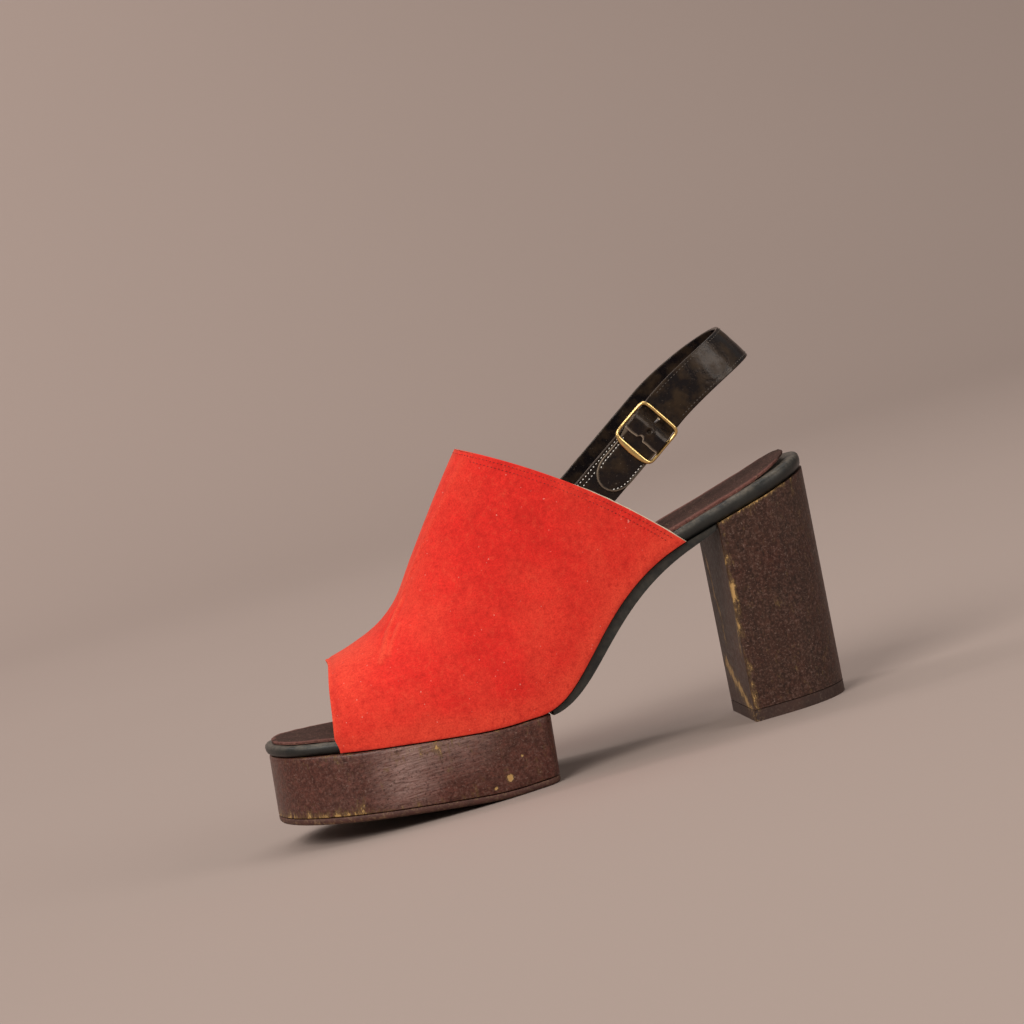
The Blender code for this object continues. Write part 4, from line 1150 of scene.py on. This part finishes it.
class OBJECT_OT_shoe_vamp(ShoeOperator, Operator):
    """Suede vamp with its lining and its seams"""

    bl_idname = "object.shoe_vamp"
    bl_label = "Vamp"

    def build(self, sizes, colours):
        def outside(u, v):
            """Face of the suede, rippled, creased and drawn in at its folded toe edge."""
            point = vamp_point(u, v)
            ripple = noise.noise(point * 42) * 0.00030 + noise.noise(point * 110) * 0.00012
            fold = 0.00025 * math.exp(-((v - 0.016) / 0.008) ** 2)
            return point + vamp_normal(u, v) * (ripple + crease_marks(point)[0] - fold - 0.0002)

        def inside(u, v):
            """Face of the lining, which stands a little proud of the suede at the sides of the collar."""
            along = 0.004 + 0.996 * v
            point = vamp_point(u, along) - vamp_normal(u, along) * (sizes.suede_thickness + 0.0001)
            upward = (vamp_point(u, 1.0) - vamp_point(u, 0.97)).normalized()
            pucker = 1 + 0.5 * noise.noise(Vector((u * 90, 0, 0)))
            return point + upward * 0.00042 * pucker * blend(abs(u - 0.5), 0.34, 0.39) * blend(v, 0.97, 1.0)

        bm = sheet_of(outside, *VAMP_GRID)
        # Darker nap at the foot and toe fold: dirt, with painted shade in the joint and the fold
        keep_attribute(bm, "soil_and_shade", self.soil_and_shade)
        # Paler nap: rubbed, with painted light on the lower band, the toe and the crease ridges
        keep_attribute(bm, "rubbed_and_lit", self.rubbed_and_lit)
        suede = finished(bm, "suede_vamp", suede_finish(colours), "vamp")
        solidified(suede, sizes.suede_thickness, edge=0.00035)

        bm = sheet_of(inside, *VAMP_LINING_GRID)
        lining = finished(bm, "vamp_lining", lining_finish(colours))
        solidified(lining, sizes.lining_thickness)

        sides = (np.linspace(0.625, 0.992, 120), np.linspace(0.008, 0.375, 120))
        rows = [collar_row(shares, from_edge) for shares in sides for from_edge in (0.0018, 0.0040)]
        rows.append(collar_row(np.linspace(0.375, 0.625, 90), 0.0018))
        thread = thread_finish("red_thread", times(colours.suede, 0.34))
        stitched("collar_stitches", rows, thread, "suede", sizes.stitch_pitch, *COLLAR_STITCH)

    @staticmethod
    def soil_and_shade(co):
        """Dark nap along the vamp's foot and just behind the folded toe edge: dirt, with painted shade in the
        joint on the platform and behind the fold.
        """
        foot = max(0.0, 1 - (co.z - bed(co.x)) / 0.0022)
        front = math.exp(-((co.x - toe_edge(co) - 0.0025) / 0.0012) ** 2)
        return min(0.85 * foot + 0.35 * front, 1.0)

    @staticmethod
    def rubbed_and_lit(co):
        """Nap made paler: rubbed on the creases and at the toe edge, with painted light above the platform,
        near the toe and on the crease ridges.
        """
        low = 1 - blend(co.z - bed(co.x), 0.004, 0.013)
        from_edge = co.x - toe_edge(co)
        front = 1 - blend(from_edge, 0.0008, 0.0016)
        toe = 1 - blend(from_edge, 0.006, 0.030)
        crease = crease_marks(co)[1] if co.y < 0 else 0.0
        return min(max(crease, 0.60 * low, 0.85 * front, 0.40 * toe), 1.0)


def strap_place(along, across, outward, pitch=STRAP_PITCH):
    """Place on the outer side: along the strap, across its width, outward from the shoe's middle."""
    base_x = STRAP_CENTRE.x + along * math.cos(STRAP_PITCH)
    base_z = STRAP_CENTRE.z + along * math.sin(STRAP_PITCH)
    return Vector((base_x + across * math.sin(pitch), -outward, base_z - across * math.cos(pitch)))


def beyond_buckle(along):
    """Share of the way from the buckle to the back of the sling."""
    return max(along - BUCKLE_END, 0.0) / (STRAP_BACK_REACH - BUCKLE_END)


def strap_pitch(along):
    return STRAP_PITCH + (STRAP_BACK_PITCH - STRAP_PITCH) * beyond_buckle(along)


def strap_middle(along, outward):
    """Middle of the sling's width, which sinks a little towards the back."""
    drop = STRAP_BACK_DROP * beyond_buckle(along) ** STRAP_DROP_POWER
    return strap_place(along, drop, outward, strap_pitch(along))


class StrapLine:
    """Line of a strap's outer face, by its own length."""

    def __init__(self, places):
        """Takes rows of the place along the sling and the outward place."""
        self.places = np.array(places)
        points = [strap_middle(along, outward) for along, outward in places]
        gaps = [(b - a).length for a, b in zip(points, points[1:])]
        self.marks = np.concatenate(([0.0], np.cumsum(gaps)))
        self.length = float(self.marks[-1])

    def row(self, mark):
        return [float(np.interp(mark, self.marks, self.places[:, k])) for k in range(2)]

    def frame(self, mark, step=0.0004):
        """Place, downward direction across the strap and outward direction at a length."""
        low, high = max(mark - step, 0.0), min(mark + step, self.length)
        run = strap_middle(*self.row(high)) - strap_middle(*self.row(low))
        along, outward = self.row(mark)
        pitch = strap_pitch(along)
        wide = Vector((math.sin(pitch), 0, -math.cos(pitch)))
        return strap_middle(along, outward), wide, wide.cross(run).normalized()

    def point(self, mark, across, height):
        place, wide, outward = self.frame(mark)
        return place + wide * across + outward * height

    def seam(self, start, end, across, height=0.0001):
        """Points with outward directions for a row of stitches; across is a number or takes the length."""
        row = []
        for mark in np.linspace(start, end, max(int((end - start) / 0.001), 3)):
            place = across(mark) if callable(across) else across
            row.append((self.point(mark, place, height), self.frame(mark)[2]))
        return row

    def bend(self, bm, thickness, relief):
        """Lays a flat strip on the line; its top face becomes the outer face."""
        for vertex in bm.verts:
            mark, across, level = vertex.co.x, -vertex.co.y, vertex.co.z
            rise = relief(mark, across) * level / thickness
            vertex.co = self.point(mark, across, level - thickness + rise)


def long_strap_line(thickness):
    """Free end, outer side, round the back and inner side of the long strap."""
    rows = []
    for along in np.linspace(FREE_END, BUCKLE_END, 120):
        window = along + np.linspace(-0.0011, 0.0011, 5)
        face = float(np.mean(np.interp(window, FREE_END_MARKS, FREE_END_FACES)))
        rows.append((along, face + thickness))
    start = min(BUCKLE_END, STRAP_BACK_REACH - STRAP_ROUND_LENGTH)
    power = 2 / STRAP_ROUND_FULLNESS
    for angle in np.linspace(-math.pi / 2, math.pi / 2, 420):
        along = start + (STRAP_BACK_REACH - start) * max(math.cos(angle), 0.0) ** power
        if angle < 0 and along < BUCKLE_END + 0.0002:
            continue
        reach = OUTER_FACE if angle < 0 else MEDIAL_FACE
        rows.append((along, -reach * math.copysign(abs(math.sin(angle)) ** power, angle)))
    rows.extend((along, -MEDIAL_FACE) for along in np.linspace(start - 0.0004, STRAP_INNER_END, 60))
    return StrapLine(rows)


def tab_line():
    """The short strap's tab from its round end to the centre bar and round behind the bar."""
    rows = []
    for along in np.linspace(TAB_START, CENTRE_BAR - 0.0002, 120):
        rise = (LOOP_RADIUS - TAB_THICKNESS) * blend(along, 0.0252, 0.0315)
        rows.append((along, OUTER_FACE + TAB_THICKNESS + rise))
    for turn in np.linspace(math.pi / 2, -math.pi / 2, 60):
        rows.append((CENTRE_BAR + LOOP_RADIUS * math.cos(turn), OUTER_FACE + LOOP_RADIUS * math.sin(turn)))
    return StrapLine(rows)


def tab_edges(mark):
    """Upper and lower edge of the tab across the sling, at a length from its round end."""
    short = max(1 - mark / TAB_END_ROUND, 0.0)
    half = TAB_HALF_WIDTH * (1 - short ** TAB_END_FULLNESS) ** (1 / TAB_END_FULLNESS)
    shoulder = (-TAB_RIGHT - TAB_LEFT) * blend(mark, 0.018, 0.026)
    return TAB_MIDDLE - half + shoulder, TAB_MIDDLE + half


def tab_outline(tab):
    """Flat outline of the tab: a round end, a shoulder and the loop's full width."""
    lengths = list(TAB_END_ROUND * (1 - np.cos(np.linspace(0, math.pi / 2, 40))))
    lengths += list(np.linspace(TAB_END_ROUND, tab.length, 60)[1:])
    lower = [Vector((mark, -tab_edges(mark)[1], 0)) for mark in lengths]
    upper = [Vector((mark, -tab_edges(mark)[0], 0)) for mark in lengths]
    return resampled(lower + upper[::-1], 0.0005)


def from_tab_edge(mark, across):
    """Distance inward from the tab's edge, and how far out from its middle that is as a share."""
    round_share = max(1 - mark / TAB_END_ROUND, 0.0)
    spread = min(math.hypot((across - TAB_MIDDLE) / TAB_HALF_WIDTH, round_share), 1.0)
    return TAB_HALF_WIDTH * (1 - spread), spread


def tab_relief(mark, across):
    """A groove inside the tab's edge, and the soft bulge of its middle."""
    from_edge, spread = from_tab_edge(mark, across)
    groove = 0.00034 * math.exp(-((from_edge - 0.0011) / 0.00034) ** 2)
    fade = 1 - blend(mark, 0.017, 0.022)
    dents = noise.noise(Vector((mark, across, 0.09)) * 240) * 0.00012
    return 0.00022 * (1 - spread ** 2) - groove * fade + dents


def strap_crown(mark, across, half_width, seed):
    """Puffed middle of a strap, the groove of its stitched edges and soft dents."""
    from_edge = half_width - abs(across)
    groove = 0.00017 * math.exp(-((from_edge - SEAM_INSET) / 0.00045) ** 2)
    place = Vector((mark, across, seed * 0.01))
    dents = noise.noise(place * 190) * 0.00013 + noise.noise(place * 480) * 0.00005
    return 0.00020 * (1 - (across / half_width) ** 2) - groove + dents


class OBJECT_OT_shoe_straps(ShoeOperator, Operator):
    """Sling straps: the long one round the back, the short one with its folded tab"""

    bl_idname = "object.shoe_straps"
    bl_label = "Sling Straps"

    def build(self, sizes, colours):
        patent = patent_finish(colours)
        self.long_strap(patent, sizes)
        self.short_strap(patent, sizes, colours)

    def short_strap(self, patent, sizes, colours):
        """The short strap, its tab folded over the centre bar and its white stitches."""
        half = sizes.strap_width / 2
        base = StrapLine([(along, OUTER_FACE - TAB_THICKNESS * blend(along, 0.0275, 0.0313))
                          for along in np.linspace(STRAP_INNER_END, CENTRE_BAR, 80)])
        corners = ((0, -half), (base.length, -half), (base.length, half), (0, half))
        outline = resampled([Vector((x, y, 0)) for x, y in corners], 0.0011)
        bm = slab(outline, sizes.strap_thickness, STRAP_EDGE_ROUNDS, (0.0012, 0.0012, 0))
        base.bend(bm, sizes.strap_thickness, lambda mark, across: strap_crown(mark, across, half, 5))
        finished(bm, "short_sling_strap", patent, "short_strap", sharp=50)

        tab = tab_line()
        bm = slab(tab_outline(tab), TAB_THICKNESS, (0.0002, 0.0004), (0.0006, 0.0006, 0))
        keep_attribute(bm, "cut", lambda co: 0.5 * (1 - blend(from_tab_edge(co.x, -co.y)[0], 0.0002, 0.0006)))
        tab.bend(bm, TAB_THICKNESS, tab_relief)
        finished(bm, "short_strap_tab", patent, "short_strap", sharp=50)

        # Two rows along the upper edge, two round the tab and a short one below: start, end, place across
        rows = [base.seam(0.0110, 0.0366, 0.0012 - half),
                base.seam(0.0110, 0.0205, 0.0030 - half),
                tab.seam(0.0050, 0.0215, lambda mark: tab_edges(mark)[0] + 0.0013),
                tab.seam(0.0018, 0.0170, lambda mark: tab_edges(mark)[1] - 0.0013),
                base.seam(0.0110, 0.0150, half - SEAM_INSET)]
        stitched("short_strap_stitches", rows, thread_finish("white_thread", colours.thread), "patent",
                 sizes.stitch_pitch, STRAP_STITCH_LENGTH, sizes.stitch_width)

    def long_strap(self, patent, sizes):
        """The long strap with its cut end, its hole and its edge stitches."""
        thickness = sizes.strap_thickness
        half = sizes.strap_width / 2
        line = long_strap_line(thickness)

        def cut_end(across):
            """The cut is wavy and runs through half of an old hole."""
            wave = 0.00055 * noise.noise(Vector((across * 260, 0, 3)))
            return 0.0006 + wave + math.sqrt(max(OLD_HOLE_RADIUS ** 2 - (across - 0.0006) ** 2, 0.0))

        def relief(mark, across):
            """Crown of the strap with the dent and the raised rim of the spare hole."""
            from_hole = (Vector((mark, across)) - SPARE_HOLE).length
            dent = 0.0010 * math.exp(-(from_hole / 0.0008) ** 4)
            rim = 0.00018 * math.exp(-((from_hole - 0.0016) / 0.0006) ** 2)
            return strap_crown(mark, across, half, 2) - dent + rim

        outline = [Vector((cut_end(across), across, 0)) for across in np.linspace(half, -half, 60)]
        outline += [Vector((line.length, -half, 0)), Vector((line.length, half, 0))]
        # Finer strips round the spare hole, both ways, and along the free end
        fine = ((0, 0.0036, 0.0072, 0.0003), (1, -0.0021, 0.0021, 0.0003), (0, 0.0, 0.020, 0.0006))
        bm = slab(resampled(outline, 0.0006), thickness, STRAP_EDGE_ROUNDS, (0.0012, 0.0012, 0), fine=fine)
        keep_attribute(bm, "cut", lambda co: 1 - blend(co.x - cut_end(co.y), 0.0002, 0.0009))
        line.bend(bm, thickness, relief)
        finished(bm, "long_sling_strap", patent, "long_strap", sharp=50)
        rows = [line.seam(0.0205, line.length - 0.004, side * (half - SEAM_INSET), 0.00002)
                for side in (-1, 1)]
        stitched("long_strap_stitches", rows, thread_finish("dark_thread", DARK_THREAD), "patent",
                 sizes.stitch_pitch, *DARK_STITCH)


class OBJECT_OT_shoe_buckle(ShoeOperator, Operator):
    """Brass buckle, its centre bar and its prong"""

    bl_idname = "object.shoe_buckle"
    bl_label = "Buckle"

    def build(self, sizes, colours):
        brass = metal_finish("polished_brass", colours.brass, 0.20, BRASS_TARNISH)
        steel = metal_finish("polished_steel", colours.steel, 0.18, STEEL_TARNISH)
        count = 160
        places = [self.frame_place(k / count, sizes) for k in range(count)]
        sections = []
        for k, (along, across, lift, width) in enumerate(places):
            before, after = places[k - 1], places[(k + 1) % count]
            tangent = Vector((after[0] - before[0], after[1] - before[1], 0)).normalized()
            centre = strap_place(along, across, lift)
            edge = strap_place(along + tangent.y * width, across - tangent.x * width, lift)
            sections.append((centre, edge - centre, Vector((0, -BUCKLE_HALF_DEPTH, 0))))
        bm = lofted(sections, cyclic=True)
        finished(bm, "brass_buckle_frame", brass, "buckle_frame", sharp=60)

        half = sizes.strap_width / 2 - GAP
        ends = [strap_place(CENTRE_BAR, k * half, OUTER_FACE) for k in (-1, -0.3, 0.3, 1)]
        finished(self.rod(ends, BAR_RADIUS), "brass_centre_bar", brass, "buckle_bar")

        eye = BAR_RADIUS + GAP + PRONG_RADIUS
        turns = [math.radians(degrees) for degrees in range(-160, 0, 12)]
        places = [(CENTRE_BAR + eye * math.cos(turn), OUTER_FACE + eye * math.sin(turn)) for turn in turns]
        places += [(PRONG_HOLE - GAP, PRONG_HOLE_FACE), (UPPER_BAR - PRONG_TIP_BACK, PRONG_TIP_FACE)]
        points = [strap_place(along, 0, outward) for along, outward in places]
        finished(self.rod(points, PRONG_RADIUS), "steel_prong", steel, "buckle_prong")

    @staticmethod
    def rod(points, radius):
        """Round rod along points."""
        sections = []
        for k, point in enumerate(points):
            before = points[max(k - 1, 0)]
            after = points[min(k + 1, len(points) - 1)]
            tangent = (after - before).normalized()
            wide = tangent.orthogonal().normalized()
            if sections:
                earlier = sections[-1][1].normalized()
                wide = (earlier - tangent * earlier.dot(tangent)).normalized()
            sections.append((point, wide * radius, tangent.cross(wide) * radius))
        return lofted(sections)

    @staticmethod
    def frame_place(share, sizes):
        """Place, outward lift and half width of the buckle frame at a share of the way round."""
        angle = 2 * math.pi * share
        half_span = sizes.strap_width / 2 + GAP + sizes.wire
        along_share, across_share = (math.copysign(abs(turned) ** BUCKLE_SQUARENESS, turned)
                                     for turned in (math.cos(angle), math.sin(angle)))
        across = half_span * across_share
        lower = max(-along_share, 0.0) ** 3 * (1 - abs(across / half_span) ** 2)
        upper = max(along_share, 0.0) ** 3
        along = (LOWER_BAR + UPPER_BAR) / 2 + (UPPER_BAR - LOWER_BAR) / 2 * along_share
        along -= lower * LOWER_BAR_BOW
        lift = OUTER_FACE + SIDE_BAR_LIFT
        lift += (LOWER_BAR_FACE - lift) * max(-along_share, 0.0) ** 2
        lift += (UPPER_BAR_FACE - lift) * upper
        width = sizes.wire + (LOWER_BAR_HALF_WIDTH - sizes.wire) * lower
        width += (UPPER_BAR_HALF_WIDTH - sizes.wire) * upper
        return along, across, lift, width


class OBJECT_OT_shoe_stage(ShoeOperator, Operator):
    """Floor, soft lights and the camera"""

    bl_idname = "object.shoe_stage"
    bl_label = "Floor, Lights and Camera"

    def build(self, sizes, colours):
        self.floor(colours)
        self.lights()
        self.camera()

    def floor(self, colours):
        """Floor that curves up into a wall behind."""
        bm = bmesh.new()
        bmesh.ops.create_grid(bm, x_segments=1, y_segments=60, size=1.0)
        radius = WALL_BEND / (math.pi / 2)
        for vertex in bm.verts:
            co = vertex.co
            run = (co.y + 1) * FLOOR_LENGTH / 2 + FLOOR_FRONT
            angle = min(max(run - WALL_START, 0.0), WALL_BEND) / radius
            co.x *= FLOOR_HALF_WIDTH
            co.y = min(run, WALL_START) + radius * math.sin(angle)
            co.z = radius * (1 - math.cos(angle)) + max(run - WALL_START - WALL_BEND, 0.0)
        placed(bm, "studio_floor", stage_finish(colours))

    def lights(self):
        """Large soft light from the upper left, weaker ones from the right and above, and one on the wall."""
        shoe = (0.0, 0.0, 0.08)
        rows = (
            ("key_light", (-1.1, -1.5, 1.5), shoe, 1.2, 44.0, (1.0, 0.96, 0.91)),
            ("side_light", (1.5, -1.0, 0.9), shoe, 1.0, 11.0, (1.0, 0.95, 0.90)),
            ("top_light", (0.3, 0.4, 1.9), shoe, 1.4, 14.0, (1.0, 0.97, 0.94)),
            ("wall_light", (-1.6, 0.9, 2.4), (-1.4, 3.2, 1.0), 1.6, 70.0, (1.0, 0.95, 0.92)),
        )
        for name, place, target, size, power, colour in rows:
            lamp = bpy.data.lights.new(name, "AREA")
            lamp.shape = "SQUARE"
            lamp.size = size
            lamp.energy = power
            lamp.color = colour
            piece = bpy.data.objects.new(name, lamp)
            piece.location = place
            aim = Vector(target) - Vector(place)
            piece.rotation_euler = aim.to_track_quat("-Z", "Y").to_euler()
            bpy.context.scene.collection.objects.link(piece)
        world = bpy.data.worlds.new("pale_air")
        world.use_nodes = True
        air = world.node_tree.nodes["Background"].inputs
        air["Color"].default_value = (0.80, 0.76, 0.73, 1)
        air["Strength"].default_value = 0.35
        bpy.context.scene.world = world
        bpy.context.scene.view_settings.view_transform = "Standard"

    def camera(self):
        """Long lens at the photograph's angle, rolled."""
        forward = CAMERA_FORWARD.normalized()
        level = forward.cross(Vector((0, 0, 1))).normalized()
        upright_level = level.cross(forward)
        right = level * math.cos(CAMERA_ROLL) - upright_level * math.sin(CAMERA_ROLL)
        up = level * math.sin(CAMERA_ROLL) + upright_level * math.cos(CAMERA_ROLL)
        lens = bpy.data.cameras.new("camera")
        lens.sensor_fit = "HORIZONTAL"
        lens.sensor_width = SENSOR_WIDTH
        lens.lens = FOCAL_SHARE * SENSOR_WIDTH
        lens.clip_start = 0.05
        lens.clip_end = 50.0
        camera = bpy.data.objects.new("camera", lens)
        turn = Matrix((right, up, -forward)).transposed().to_4x4()
        camera.matrix_world = Matrix.Translation(CAMERA_PLACE) @ turn
        bpy.context.scene.collection.objects.link(camera)
        bpy.context.scene.camera = camera


OPERATORS = (
    OBJECT_OT_shoe_stage,
    OBJECT_OT_shoe_platform,
    OBJECT_OT_shoe_footbed,
    OBJECT_OT_shoe_waist,
    OBJECT_OT_shoe_heel,
    OBJECT_OT_shoe_vamp,
    OBJECT_OT_shoe_straps,
    OBJECT_OT_shoe_buckle,
)


class VIEW3D_PT_shoe(Panel):
    """Sidebar panel with the shoe's sizes, colours and pieces"""

    bl_label = "Platform Heel"
    bl_idname = "VIEW3D_PT_shoe"
    bl_space_type = "VIEW_3D"
    bl_region_type = "UI"
    bl_category = "Shoe"

    def draw(self, context):
        layout = self.layout
        for group in (context.scene.shoe_sizes, context.scene.shoe_colours):
            box = layout.box()
            for name in group.__annotations__:
                box.prop(group, name)
        for operator in OPERATORS:
            layout.operator(operator.bl_idname)


CLASSES = (ShoeSizes, ShoeColours, *OPERATORS, VIEW3D_PT_shoe)


def register():
    for cls in CLASSES:
        bpy.utils.register_class(cls)
    bpy.types.Scene.shoe_sizes = PointerProperty(type=ShoeSizes)
    bpy.types.Scene.shoe_colours = PointerProperty(type=ShoeColours)


def unregister():
    del bpy.types.Scene.shoe_colours
    del bpy.types.Scene.shoe_sizes
    for cls in reversed(CLASSES):
        bpy.utils.unregister_class(cls)


def main():
    register()
    for operator in OPERATORS:
        group, name = operator.bl_idname.split(".")
        getattr(getattr(bpy.ops, group), name)()


if __name__ == "__main__":
    main()
